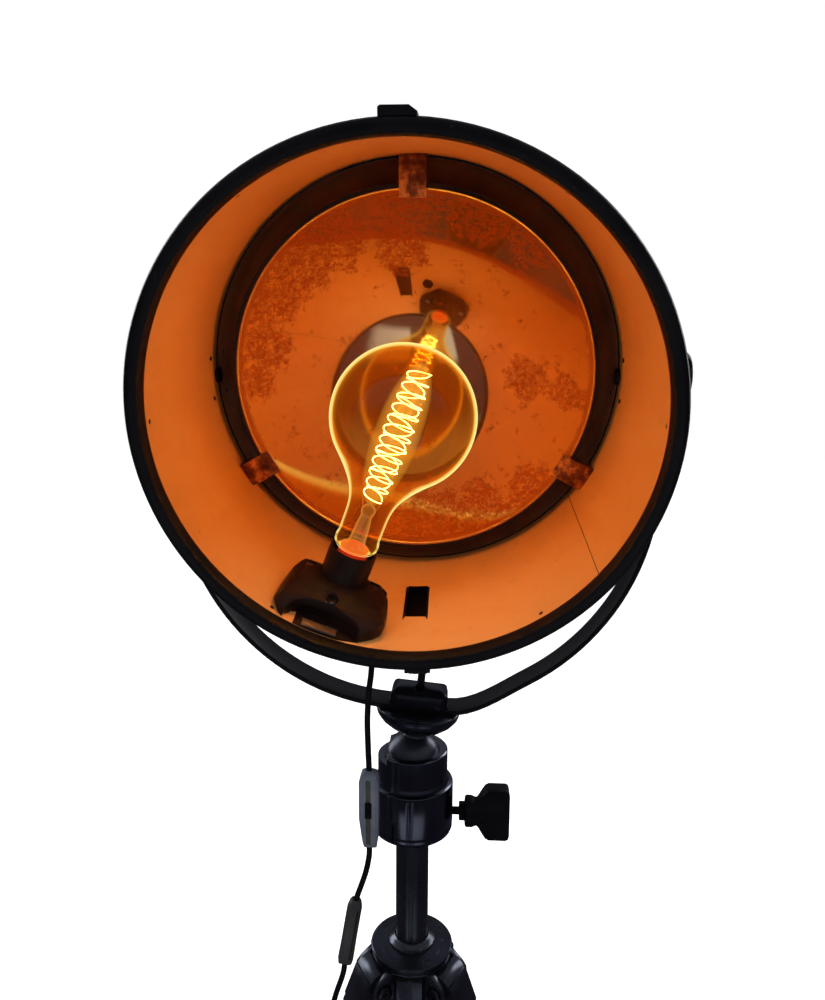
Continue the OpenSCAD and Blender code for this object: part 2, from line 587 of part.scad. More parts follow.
// ---------- column and shoulder ----------
module column_tube() color(GREY) at_col() difference() {
  translate([0, 0, ring_z - col_in])
    cylinder(r = col_r, h = pin_z - col_top - ring_z + col_in);
  translate([0, 0, ring_z - col_in - 1])
    cylinder(r = col_r - 2.2, h = pin_z - col_top - ring_z + col_in + 3);
  // key groove down the front
  translate([-1.4, -col_r - 1, ring_z - col_in - 1]) cube([2.8, 2.1, 1200]);
}
module column_collar() color(DARK) at_col() translate([0, 0, ring_z]) difference() {
  revolve([[col_r + run, -5.1], [25.8, -5.1], [25.8, 4.5], [25.4, 6],
    [24, 6.5], [col_r + 1, 10.8], [col_r + run, 10]]);
  // grip notches round the collar's edge
  for (k = [0:11]) rotate([0, 0, 30 * k + 15]) translate([26, 0, -8])
    cylinder(r = 1.1, h = 20);
}
module shoulder_ring() color(BLACK) at_col() translate([0, 0, ring_z]) difference() {
  revolve([[26.1, -5.4], [shoulder_r, -5.4], [shoulder_r, 0], [shoulder_r - 1, 1.4],
    [shoulder_r - 2.3, 0.6], [26.1, 4.2]]);
  // plain index ticks pressed into the sloping face
  for (k = [0:11]) rotate([0, 0, 30 * k]) translate([36, 0, 2.7])
    rotate([0, 11.9, 0]) cube([1.2, 7, 2], center = true);
}
module each_leg_plan() { for (a = [-150, -30, 90]) rotate([0, 0, a]) children(); }
module shoulder_casting() color(GREY) at_col() translate([0, 0, ring_z]) difference() {
  union() {
    revolve([[col_r + run, -5.4], [shoulder_r - 1.5, -5.4], [shoulder_r - 1.5, -9],
      [shoulder_r - 6, -13], [29, -15], [26, -24], [26, -52], [23, -58],
      [col_r + run, -58]]);
    // cheeks that carry the leg hinges
    each_leg_plan() for (s = [-1, 1]) {
      translate([0, s * 21.7 + 3.3, 0]) rotate([90, 0, 0]) linear_extrude(6.6)
        polygon([[10, -8], [40, -8], [52, -16], [57, -22], [58, -30], [55, -37],
          [49, -41], [40, -42], [28, -46], [10, -50]]);
    }
    // web between each pair of cheeks
    each_leg_plan() rotate([0, 0, 60]) difference() {
      translate([20, -13.5, -56]) cube([27, 27, 45]);
      translate([45, -1.5, -60]) cube([4, 3, 60]);
    }
  }
  translate([0, 0, -80]) cylinder(r = col_r + run, h = 90);
  // room for the leg heads to fold
  each_leg_plan() {
    translate([hinge_r, 0, -hinge_drop]) rotate([90, 0, 0])
      cylinder(r = 17.6, h = 36.8, center = true);
    translate([hinge_r - 17.3, -18.4, -90]) cube([60, 36.8, 62]);
    translate([hinge_r, 0, -hinge_drop]) rotate([90, 0, 0])
      cylinder(r = 5, h = 60, center = true);
  }
}
module hinge_bolts() color(STEEL) at_col() translate([0, 0, ring_z - hinge_drop])
  each_leg_plan() translate([hinge_r, 0, 0]) rotate([90, 0, 0]) difference() {
    union() {
      cylinder(r = 5, h = 50, center = true);
      for (s = [-1, 1]) translate([0, 0, s * 26.75]) intersection() {
        cylinder(r = 8, h = 3.5, center = true);
        translate([0, 0, -s * 12]) sphere(r = 15.4);
      }
    }
    for (s = [-1, 1]) translate([0, 0, s * 28.5])
      cylinder(r = 3, h = 4, center = true, $fn = 6);
  }

// ---------- legs ----------
module leg_head(i) color(GREY) at_leg(i) difference() {
  union() {
    intersection() {
      union() {
        rotate([90, 0, 0]) cylinder(r = 17, h = 36, center = true);
        translate([-17, -18, -40]) cube([34, 36, 40]);
        translate([-4, -18, -30]) cube([24, 36, 34]);
      }
      translate([0, 0, -42]) cylinder(r = 25.5, h = 80);
    }
    translate([0, 0, -86]) cylinder(r = 19.5, h = 50);
    translate([0, 0, -86]) cylinder(r = 20.5, h = 9);
  }
  rotate([90, 0, 0]) cylinder(r = 5 + run, h = 60, center = true);
  translate([0, 0, -90]) cylinder(r = leg_r, h = 58);
  translate([0, 20.4, -58]) cube([1.4, 6, 40], center = true);
}
module leg_tube(i) color(DARK) at_leg(i) difference() {
  translate([0, 0, -lock_at]) cylinder(r = leg_r, h = lock_at - 32);
  translate([0, 0, -lock_at - 1]) cylinder(r = leg_r - 1.6, h = lock_at);
}
module leg_lock(i) color(BLACK) at_leg(i) difference() {
  revolve([[leg_r + run, 40 - lock_at], [19, 40 - lock_at], [20.5, 36 - lock_at],
    [20.5, -14 - lock_at], [18.5, -19 - lock_at], [low_r + run, -19 - lock_at],
    [low_r + run, -8 - lock_at], [leg_r - 1, -1 - lock_at],
    [leg_r + run, -1 - lock_at]]);
  for (k = [0:11]) rotate([0, 0, 30 * k]) translate([21.6, 0, -10 - lock_at])
    cylinder(r = 2, h = 40);
}
module leg_slide(i) color(GREY) at_leg(i) {
  difference() {
    translate([0, 0, -foot_len + 30]) cylinder(r = low_r, h = foot_len - 30 - lock_at + 170);
    translate([0, 0, -foot_len + 29]) cylinder(r = low_r - 1.4, h = 900);
  }
}
module foot(i) color(BLACK) difference() {
  at_leg(i) difference() {
    revolve([[0, -foot_len - 12], [12, -foot_len - 12], [16.5, -foot_len - 7],
      [17.5, -foot_len + 2], [16, -foot_len + 14], [14.4, -foot_len + 20],
      [14, -foot_len + 58], [13, -foot_len + 60], [0, -foot_len + 60]]);
    translate([0, 0, -foot_len + 30]) cylinder(r = low_r, h = 60);
  }
  translate([-900, -900, -60]) cube([1800, 1800, 60]);
}
module leg_head_1() leg_head(0);
module leg_head_2() leg_head(1);
module leg_head_3() leg_head(2);
module leg_tube_1() leg_tube(0);
module leg_tube_2() leg_tube(1);
module leg_tube_3() leg_tube(2);
module leg_lock_1() leg_lock(0);
module leg_lock_2() leg_lock(1);
module leg_lock_3() leg_lock(2);
module leg_slide_1() leg_slide(0);
module leg_slide_2() leg_slide(1);
module leg_slide_3() leg_slide(2);
module foot_1() foot(0);
module foot_2() foot(1);
module foot_3() foot(2);

// ---------- cord ----------
// gland mouth, worked out from the drum frame
function drum_pt(x, y, z) = [x, -z * cos(drum_tilt) - y * sin(drum_tilt),
  pin_z - z * sin(drum_tilt) + y * cos(drum_tilt)];
function gland_pt(h) = drum_pt(sin(gland_phi) * (drum_r + h),
  -cos(gland_phi) * (drum_r + h), pin_back - gland_t);
sw_top = [-41.3, -55, pin_z - 393];
sw_len = 83;
sw_bot = sw_top - [0, 0, sw_len];
box_top = [-55.5, -55, pin_z - 538];
box_bot = [-67.7, -55, pin_z - 612];
box_ax = unit(box_bot - box_top);
box_len = norm(box_bot - box_top);
coil_c = [-72, -189];             // middle of the coil, from the column
coil_in = 26;                     // innermost radius, at the climb
coil_pitch = 6.7;                 // radius gained in each turn
coil_a0 = 168;                    // where the cord comes in
coil_mid = 960;                   // angle wound at the middle of the climb
lay = 2 * cord_r + 0.7;           // height of a layer
module cord_upper() color(BLACK) at_col() sweep(route([gland_pt(gland_h),
  gland_pt(gland_h + 12), [-38.4, -49, pin_z - 272], [-39.2, -53, pin_z - 292],
  [-41.5, -55, pin_z - 312], [-42.8, -55, pin_z - 340], [-42.2, -55, pin_z - 368],
  sw_top], 3), cord_r, cord_n, [1, 0, 0]);
// body of an in-line piece: long along -z, rounded shoulders, soft edges;
// left and right are its half widths at the lower end
module pill(w, left, right, len, dep) {
  intersection() {
    rotate([90, 0, 0]) translate([0, 0, -dep / 2]) linear_extrude(dep)
      polygon([[-4, 0], [-w / 2 + 2, -4], [-w / 2, -10], [-w / 2, -len * 0.6],
        [-left, -len * 0.9], [-left + 2, -len], [right - 3, -len],
        [right - 0.8, -len + 3], [right, -len * 0.9], [w / 2, -len * 0.6],
        [w / 2, -10], [w / 2 - 2, -4], [4, 0]]);
    rotate([90, 0, 90]) translate([0, 0, -w]) linear_extrude(w * 2)
      polygon([[-4, 0], [-dep / 2 + 2, -3], [-dep / 2, -8], [-dep / 2, -len + 8],
        [-dep / 2 + 2, -len + 3], [-4, -len], [4, -len], [dep / 2 - 2, -len + 3],
        [dep / 2, -len + 8], [dep / 2, -8], [dep / 2 - 2, -3], [4, 0]]);
    translate([0, 0, -len - 1]) linear_extrude(len + 2) polygon([
      [-w / 2 - 1, -dep / 2 + 4], [-w / 2 + 3, -dep / 2], [w / 2 - 3, -dep / 2],
      [w / 2 + 1, -dep / 2 + 4], [w / 2 + 1, dep / 2 - 4], [w / 2 - 3, dep / 2],
      [-w / 2 + 3, dep / 2], [-w / 2 - 1, dep / 2 - 4]]);
  }
}
module switch_body() color([0.28, 0.29, 0.35]) at_col() translate(sw_top) difference() {
  pill(19.6, 5.6, 9.2, sw_len, 20);
  // well for the button and a dark band down the middle
  translate([-3.3, -11, -47]) cube([6.6, 8, 16.6]);
  translate([-2.4, -10.6, -sw_len + 6]) cube([4.8, 1.2, sw_len - 12]);
}
module switch_button() color(BLACK) at_col() translate(sw_top)
  translate([-3, -11.2, -46.7]) difference() {
    cube([6, 5.6, 16]);
    translate([-1, -0.6, 8]) rotate([0, 90, 0]) cylinder(r = 1.4, h = 8);
  }
module cord_middle() color(BLACK) at_col() sweep(route([sw_bot,
  [-41.6, -55, pin_z - 488], [-45, -55, pin_z - 506],
  [-51, -55, pin_z - 525], box_top], 3), cord_r, cord_n, [0, 1, 0]);
module inline_box() color([0.28, 0.29, 0.35]) at_col() translate(box_top)
  rotate([0, -atan2(box_ax[0], -box_ax[2]), 0]) difference() {
    pill(15.6, 8.2, 8.2, box_len, 14);
    translate([3.4, -7.6, -box_len + 8]) cube([1.6, 1.2, box_len - 16]);
  }
function coil_r(a) = coil_in + coil_pitch * abs(a - coil_mid) / 360;
function ease(u) = u * u * (3 - 2 * u);
function coil_pt(a) = concat(
  coil_c + coil_r(a) * [cos(coil_a0 + a), sin(coil_a0 + a)],
  cord_r + lay * ease(max(0, min(1, (a - coil_mid) / 180 + 0.5))));
low_pts = [box_bot + box_ax * gap, box_bot + box_ax * 16, [-80, -56, 911], [-88, -72, 862],
  [-93, -94, 800], [-95, -110, 720], [-96, -116, 620], [-97, -118, 480],
  [-97, -118, 330], [-97, -118, 200], [-98, -119, 120], [-99, -121, 70],
  [-102, -126, 36], [-106, -136, 14], [-109, -150, 5], [-112, -165, 3], coil_pt(0)];
low_path = route(low_pts, 3);
module cord_lower() color(BLACK) at_col() sweep(low_path, cord_r, cord_n, [0.6, -0.8, 0]);
// two layers: it spirals in, climbs in half a turn and spirals out again,
// then runs off straight to the plug
coil_turns = [for (i = [0:2 * coil_mid / 15]) coil_pt(15 * i)];
coil_off = coil_turns[len(coil_turns) - 1];
coil_dir = unit(coil_off - coil_turns[len(coil_turns) - 2]);
plug_z = 7.1;                     // height of the plug's middle
tail = 104;
function tail_z(u) = u < 0.55 ? coil_off[2] + (cord_r - coil_off[2]) * ease(u / 0.55)
  : u < 0.9 ? cord_r + (plug_z - cord_r) * ease((u - 0.55) / 0.35) : plug_z;
coil_path = concat(coil_turns, [for (i = [1:10]) let (u = i / 10)
  [coil_off[0] + coil_dir[0] * tail * u, coil_off[1] + coil_dir[1] * tail * u, tail_z(u)]]);
coil_gap = min([for (i = [0:len(coil_path) - 1], j = [i + 12:1:len(coil_path) - 1])
  norm(coil_path[i] - coil_path[j])]) - 2 * cord_r;
function length_of(p, i = 0) =
  i >= len(p) - 1 ? 0 : norm(p[i + 1] - p[i]) + length_of(p, i + 1);
echo(coil_gap = coil_gap);
echo(cord_lengths = [length_of(low_path), length_of(coil_path)]);
module cord_coil() color(BLACK) at_col() sweep(coil_path, cord_r, 6, [0, 0, 1]);
coil_end = coil_path[len(coil_path) - 1];
plug_dir = unit(coil_end - coil_path[len(coil_path) - 2]);
module at_plug() {
  at_col() translate([coil_end[0], coil_end[1], coil_end[2]])
    rotate([0, 0, atan2(plug_dir[1], plug_dir[0])]) children();
}
module plug_body() color(BLACK) at_plug() difference() {
  intersection() {
    translate([0, 0, -coil_end[2]]) linear_extrude(14.2) polygon([[0, -4.6],
      [10, -5.4], [16, -10], [22, -14.5], [32, -17], [44, -17.6], [45, -16.6],
      [45, 16.6], [44, 17.6], [32, 17], [22, 14.5], [16, 10], [10, 5.4], [0, 4.6]]);
    rotate([90, 0, 0]) translate([0, 0, -20]) linear_extrude(40) polygon([[0, -4.4],
      [10, -coil_end[2]], [44, -coil_end[2]], [45, -coil_end[2] + 1.2],
      [45, 13 - coil_end[2]], [44, 14.2 - coil_end[2]], [20, 14.2 - coil_end[2]],
      [0, 4.4]]);
  }
  for (s = [-1, 1]) translate([36, 9.5 * s, 7.1 - coil_end[2]]) rotate([0, 90, 0])
    cylinder(r = 2, h = 20);
}
module plug_pins() color(STEEL) at_plug() for (s = [-1, 1])
  translate([36, 9.5 * s, 7.1 - coil_end[2]]) rotate([0, 90, 0])
    revolve([[0, 0], [2, 0], [2, 26.5], [1.3, 28], [0, 28]]);

drum_barrel();
front_ring();
ring_lugs();
rear_pan();
slot_hood();
mirror_glass();
mirror_clips();
clip_screws();
case_screws();
trunnion_pins();
lampholder_base();
base_screws();
base_strip();
lampholder_sleeve();
socket_shell();
bulb_glass();
bulb_cap();
bulb_stem();
filament();
cable_gland();
yoke_bar();
yoke_block();
yoke_stud();
knob_left();
knob_right();
seat_disc();
ball_stem();
head_cup();
head_housing();
ball_saddle();
lock_knob();
column_tube();
column_collar();
shoulder_ring();
shoulder_casting();
hinge_bolts();
leg_head_1();
leg_head_2();
leg_head_3();
leg_tube_1();
leg_tube_2();
leg_tube_3();
leg_lock_1();
leg_lock_2();
leg_lock_3();
leg_slide_1();
leg_slide_2();
leg_slide_3();
foot_1();
foot_2();
foot_3();
cord_upper();
switch_body();
switch_button();
cord_middle();
inline_box();
cord_lower();
cord_coil();
plug_body();
plug_pins();
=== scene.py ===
"""Looks of the tripod spotlight floor lamp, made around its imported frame. Metres throughout."""
import json
import math

import bmesh
import bpy
from mathutils import Matrix, Vector


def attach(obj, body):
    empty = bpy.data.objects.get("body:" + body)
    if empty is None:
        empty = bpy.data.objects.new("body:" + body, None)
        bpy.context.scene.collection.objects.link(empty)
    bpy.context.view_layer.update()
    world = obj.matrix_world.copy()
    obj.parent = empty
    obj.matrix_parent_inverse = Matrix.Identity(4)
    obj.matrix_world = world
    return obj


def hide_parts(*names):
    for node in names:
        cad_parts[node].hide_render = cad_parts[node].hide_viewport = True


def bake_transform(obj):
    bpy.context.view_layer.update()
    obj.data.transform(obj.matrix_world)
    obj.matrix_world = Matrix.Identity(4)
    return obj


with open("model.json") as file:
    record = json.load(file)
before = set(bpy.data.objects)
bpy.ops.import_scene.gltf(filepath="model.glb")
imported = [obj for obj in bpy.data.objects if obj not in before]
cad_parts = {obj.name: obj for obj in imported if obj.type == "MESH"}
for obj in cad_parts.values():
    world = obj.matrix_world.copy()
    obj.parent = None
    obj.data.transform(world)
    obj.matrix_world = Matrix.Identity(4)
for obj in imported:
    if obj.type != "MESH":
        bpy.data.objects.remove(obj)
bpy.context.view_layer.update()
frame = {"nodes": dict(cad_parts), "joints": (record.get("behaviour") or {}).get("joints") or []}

NODES = frame["nodes"]
JOINTS = {j["name"]: j for j in frame["joints"]}
MM = 0.001


# ---------- places, from the frame's joints --------------------
PIN = Vector(JOINTS["drum_tilt"]["pos_m"])      # middle of the tilt pins
AXIS_Y = PIN.y                                  # the column stands at x = 0, y = AXIS_Y

DRUM_R = 200 * MM                               # inside
PIN_BACK = 186.3 * MM                           # from the drum's opening back to the tilt pins
DRUM_TILT = math.radians(12.1)                  # the opening looks down by this much
HOLDER_PHI = math.radians(-20.6)                # the lampholder's place round the drum
HOLDER_T = 60 * MM                              # and its depth behind the opening
MIRROR_R, MIRROR_T = 172.5 * MM, 160 * MM       # the mirror's rim: radius and depth
MIRROR_H, MIRROR_W = 97.5 * MM, 4.5 * MM        # the bowl's depth and the glass's thickness
GLOBE_R, GLOBE_H = 62.5 * MM, 190 * MM          # the globe: radius, height in the holder
CORD_R = 3 * MM

IN_DRUM = Matrix.Translation(PIN) @ Matrix.Rotation(math.pi / 2 + DRUM_TILT, 4, "X")
IN_HOLDER = (IN_DRUM @ Matrix.Rotation(HOLDER_PHI, 4, "Z")
             @ Matrix.Translation((0, -DRUM_R, PIN_BACK - HOLDER_T))
             @ Matrix.Rotation(-math.pi / 2, 4, "X"))


def column_point(x, y, z):
    """A point given in millimetres from the foot of the column's axis."""
    return Vector((x * MM, AXIS_Y + y * MM, z * MM))


# ---------- camera ----------
YAW, PITCH, ROLL = -3.08, 9.14, 0.33            # degrees, as solved from the photo
LENS, SENSOR = 27.0, 36.0                       # millimetres
CAMERA_FROM_PIN = (38.7, -755.6, -3.6)          # millimetres


def make_camera():
    yaw, pitch, roll = (math.radians(a) for a in (YAW, PITCH, ROLL))
    ahead = Vector((math.sin(yaw) * math.cos(pitch), math.cos(yaw) * math.cos(pitch),
                    -math.sin(pitch)))
    level = Vector((math.cos(yaw), -math.sin(yaw), 0))
    above = level.cross(ahead)
    right = level * math.cos(roll) + above * math.sin(roll)
    up = above * math.cos(roll) - level * math.sin(roll)
    data = bpy.data.cameras.new("camera")
    data.lens, data.sensor_width = LENS, SENSOR
    cam = bpy.data.objects.new("camera", data)
    bpy.context.scene.collection.objects.link(cam)
    place = PIN + Vector(CAMERA_FROM_PIN) * MM
    turn = Matrix((right, up, -ahead)).transposed().to_4x4()
    cam.matrix_world = Matrix.Translation(place) @ turn
    bpy.context.scene.camera = cam


make_camera()


# ---------- materials ----------
def rgba(rgb):
    """8-bit sRGB to linear, opaque."""
    return (*(c / 255 / 12.92 if c / 255 <= 0.04045 else ((c / 255 + 0.055) / 1.055) ** 2.4
              for c in rgb), 1)


class Tree:
    """Short hands for building one node tree."""

    def __init__(self, tree):
        self.tree = tree

    def add(self, kind, inputs=None, **settings):
        node = self.tree.nodes.new(kind)
        for key, value in settings.items():
            setattr(node, key, value)
        for key, value in (inputs or {}).items():
            self.put(node.inputs[key], value)
        return node

    def put(self, socket, value):
        if isinstance(value, bpy.types.NodeSocket):
            self.tree.links.new(value, socket)
        elif isinstance(value, bpy.types.Node):
            self.tree.links.new(value.outputs[0], socket)
        else:
            socket.default_value = value

    def where(self):
        return self.add("ShaderNodeTexCoord").outputs["Object"]

    def noise(self, scale, detail=4.0, rough=0.55, at=None):
        return self.add("ShaderNodeTexNoise", {"Vector": at or self.where(), "Scale": scale,
                                               "Detail": detail, "Roughness": rough}).outputs["Fac"]

    def ramp(self, fac, *stops):
        """stops are (position, colour or grey); between them it is linear."""
        node = self.add("ShaderNodeValToRGB", {"Fac": fac})
        band = node.color_ramp
        while len(band.elements) < len(stops):
            band.elements.new(0.5)
        for element, (pos, value) in zip(band.elements, stops):
            element.position = pos
            element.color = rgba(value) if isinstance(value, tuple) else (value, value, value, 1)
        return node.outputs["Color"]

    def mix(self, fac, a, b):
        """Colour a turning into colour b; each is an output or 8-bit sRGB."""
        node = self.add("ShaderNodeMix", data_type="RGBA")
        for key, value in ((0, fac), (6, a), (7, b)):       # the node's factor and its two colours
            self.put(node.inputs[key], rgba(value) if isinstance(value, tuple) else value)
        return node.outputs[2]

    def math(self, how, a, b=0.0, clamp=False):
        node = self.add("ShaderNodeMath", operation=how, use_clamp=clamp)
        self.put(node.inputs[0], a)
        self.put(node.inputs[1], b)
        return node.outputs[0]

    def vector(self, how, a, b=None):
        inputs = {0: a} if b is None else {0: a, 1: b}
        return self.add("ShaderNodeVectorMath", inputs, operation=how).outputs

    def bump(self, height, strength, distance):
        return self.add("ShaderNodeBump", {"Height": height, "Strength": strength,
                                           "Distance": distance}).outputs["Normal"]

    def seen(self):
        """1 for what the camera sees, straight on or through glass."""
        path = self.add("ShaderNodeLightPath").outputs
        return self.math("MAXIMUM", path["Is Camera Ray"], path["Is Transmission Ray"])

    def facing(self, blend):
        """0 where the surface faces the eye, 1 where it turns away."""
        return self.add("ShaderNodeLayerWeight", {"Blend": blend}).outputs["Facing"]

    def clear(self, colour):
        return self.add("ShaderNodeBsdfTransparent", {"Color": colour})

    def emit(self, colour, strength):
        return self.add("ShaderNodeEmission", {"Color": colour, "Strength": strength})

    def blend(self, fac, a, b):
        """Shader a turning into shader b."""
        return self.add("ShaderNodeMixShader", {0: fac, 1: a, 2: b})

    def edges(self, radius):
        """1 along edges, 0 on flats: where the rounded normal leaves the true one."""
        soft = self.add("ShaderNodeBevel", {"Radius": radius}, samples=4).outputs[0]
        true = self.add("ShaderNodeNewGeometry").outputs["Normal"]
        dot = self.vector("DOT_PRODUCT", soft, true)["Value"]
        return self.ramp(dot, (0.80, 1.0), (0.985, 0.0))


class Nodes(Tree):
    """A new material and its tree."""

    def __init__(self, name):
        self.mat = bpy.data.materials.new(name)
        self.mat.use_nodes = True
        super().__init__(self.mat.node_tree)
        self.out = self.tree.nodes["Material Output"]
        self.shader = self.tree.nodes["Principled BSDF"]

    def set(self, **values):
        names = {"base": "Base Color", "rough": "Roughness", "metal": "Metallic",
                 "normal": "Normal", "specular": "Specular IOR Level",
                 "glow": "Emission Color", "glow_by": "Emission Strength"}
        for key, value in values.items():
            self.put(self.shader.inputs[names[key]], value)

    def surface(self, shader):
        """Takes the place of the material's own shader."""
        self.put(self.out.inputs["Surface"], shader)
        return self.mat


def paint(name, dark, pale, worn, rough, specular=0.5):
    """Sprayed paint over metal: faint mottling, orange peel, and rubbed edges."""
    wear, peel = 0.5, 0.12
    n = Nodes(name)
    base = n.ramp(n.noise(14), (0.35, dark), (0.68, pale))
    rubbed = n.math("MULTIPLY", n.edges(0.0012), n.ramp(n.noise(90, 6), (0.45, 0.0), (0.62, wear)))
    scratch = n.ramp(n.noise(220, 2, 0.4), (0.70, 0.0), (0.76, 0.25 * wear))
    base = n.mix(n.math("MAXIMUM", rubbed, scratch), base, worn)
    n.set(base=base, specular=specular,
          rough=n.ramp(n.noise(28, 3), (0.3, rough[0]), (0.7, rough[1])),
          normal=n.bump(n.noise(900, 2), peel, 0.0004))
    return n.mat


def dark_metal(name, dark, pale, rough, metal):
    """Dark anodised or enamelled metal: a soft sheen with faint clouds and a few fine scratches."""
    n = Nodes(name)
    base = n.ramp(n.noise(18, 5), (0.35, dark), (0.65, pale))
    scratch = n.ramp(n.noise(240, 2, 0.4), (0.72, 0.0), (0.78, 0.3))
    n.set(base=n.mix(scratch, base, (150, 152, 160)), metal=metal, specular=0.3,
          rough=n.ramp(n.noise(30, 4), (0.3, rough[0]), (0.7, rough[1])),
          normal=n.bump(n.noise(420, 2), 0.03, 0.0003))
    return n.mat


def plain_metal(name, dark, pale, rough=(0.22, 0.4)):
    """Bare or plated metal with fine marks round the vertical."""
    n = Nodes(name)
    flow = n.add("ShaderNodeMapping", {"Vector": n.where(), "Scale": (1, 1, 40)}).outputs[0]
    lines = n.noise(160, 4, 0.6, at=flow)
    n.set(base=n.ramp(n.noise(30), (0.35, dark), (0.65, pale)), metal=1.0,
          rough=n.ramp(lines, (0.3, rough[0]), (0.7, rough[1])), normal=n.bump(lines, 0.08, 0.0003))
    return n.mat


def moulded(name, dark, pale, rough=(0.4, 0.55), texture=0.15, specular=0.4):
    """Moulded plastic or rubber with a fine skin."""
    n = Nodes(name)
    n.set(base=n.ramp(n.noise(24), (0.35, dark), (0.65, pale)), specular=specular,
          rough=n.ramp(n.noise(60, 3), (0.3, rough[0]), (0.7, rough[1])),
          normal=n.bump(n.noise(700, 3), texture, 0.0004))
    return n.mat


BLACK_PAINT = paint("black_paint", (4, 4, 6), (9, 9, 12), (44, 44, 50), rough=(0.34, 0.48),
                    specular=0.2)
TRIPOD_PAINT = dark_metal("tripod_paint", (58, 60, 68), (78, 81, 90), (0.2, 0.3), metal=0.94)
HEAD_METAL = dark_metal("head_metal", (84, 86, 96), (98, 101, 112), (0.15, 0.22), metal=1.0)
SEAT_METAL = dark_metal("seat_metal", (48, 50, 58), (66, 68, 78), (0.2, 0.32), metal=0.96)
BALL_METAL = dark_metal("ball_metal", (52, 53, 62), (84, 86, 96), (0.26, 0.38), metal=0.95)
STEEL = plain_metal("steel", (110, 108, 106), (150, 148, 146))
BOLT = plain_metal("bolt", (54, 54, 58), (80, 80, 86), rough=(0.2, 0.35))
BRASS = plain_metal("brass", (150, 105, 55), (190, 140, 75))
STRIP = plain_metal("strip", (170, 146, 128), (196, 170, 150), rough=(0.5, 0.7))
BLACK_PLASTIC = moulded("black_plastic", (3, 3, 5), (7, 7, 9), specular=0.1)
GREY_PLASTIC = moulded("grey_plastic", (60, 64, 76), (80, 84, 96), rough=(0.35, 0.5))
BOX_PLASTIC = moulded("box_plastic", (32, 33, 34), (46, 46, 46), rough=(0.35, 0.5))
BAKELITE = moulded("bakelite", (17, 8, 5), (28, 13, 8), rough=(0.34, 0.5), texture=0.06,
                   specular=0.2)
BAND = moulded("band", (38, 40, 32), (54, 56, 46), rough=(0.5, 0.7))
BOX_BAND = moulded("box_band", (12, 12, 12), (20, 20, 18), rough=(0.5, 0.7))
RUBBER = moulded("rubber", (12, 12, 12), (22, 22, 22), rough=(0.6, 0.8), texture=0.3)
CORD_SKIN = moulded("cord_skin", (4, 4, 6), (9, 9, 11), rough=(0.4, 0.55), texture=0.1,
                    specular=0.15)


def clip_metal():
    """Plating on the spring clips, stained in random patches from rust to gold; their orange and
    gold are partly the bulb's warm light painted in.
    """
    n = Nodes("clip_metal")
    stain = n.noise(60, 6, 0.7)
    base = n.ramp(stain, (0.35, (58, 26, 10)), (0.50, (120, 62, 24)), (0.64, (214, 128, 52)))
    n.set(base=base, metal=0.6, rough=n.ramp(stain, (0.3, 0.35), (0.7, 0.6)),
          normal=n.bump(n.noise(300, 4), 0.3, 0.0005))
    return n.mat


def enamel():
    """Cream enamel inside the drum, with dust, soft streaks and a few chips; its orange is the
    bulb's warm light painted in, paler towards the bottom as painted light from outside.
    """
    n = Nodes("enamel")
    cloud = n.noise(3.2, 5, 0.6)
    # painted light: both tones are cream paint under the bulb's warm light; the paler one, laid
    # towards the bottom, stands in for outside light falling on the lower wall
    warm = n.ramp(cloud, (0.30, (162, 96, 36)), (0.55, (168, 102, 40)), (0.75, (176, 110, 46)))
    lit_bottom_tone = n.ramp(cloud, (0.30, (176, 122, 66)), (0.75, (186, 132, 78)))
    height = n.add("ShaderNodeSeparateXYZ",
                   {0: n.add("ShaderNodeTexCoord").outputs["Generated"]}).outputs["Z"]
    base = n.mix(n.ramp(height, (0.02, 1.0), (0.24, 0.0)), warm, lit_bottom_tone)
    dust = n.ramp(n.noise(55, 8, 0.7), (0.52, 0.0), (0.78, 0.3))
    base = n.mix(dust, base, (140, 78, 28))
    streaks = n.add("ShaderNodeMapping", {"Vector": n.where(), "Scale": (1, 0.12, 1)}).outputs[0]
    streak = n.ramp(n.noise(38, 5, 0.6, at=streaks), (0.5, 0.0), (0.75, 0.28))
    base = n.mix(streak, base, (186, 124, 60))
    chips = n.ramp(n.noise(130, 3, 0.5), (0.745, 0.0), (0.765, 0.7))
    base = n.mix(chips, base, (86, 44, 22))
    n.set(base=base, specular=0.4, rough=n.ramp(cloud, (0.3, 0.42), (0.7, 0.55)),
          normal=n.bump(n.noise(260, 3), 0.06, 0.0004))
    return n.mat


# where the mirror's silver has gone: millimetres right of and above its middle, the patch's radius
FOXING = ((-138, 74, 34), (-112, 104, 38), (-72, 130, 36), (-148, 30, 28), (-14, 118, 32),
          (112, -8, 28), (150, -16, 20), (20, -156, 44), (74, -150, 46), (122, -118, 36),
          (-158, -4, 20), (60, 156, 46), (0, 164, 40), (112, 122, 34))


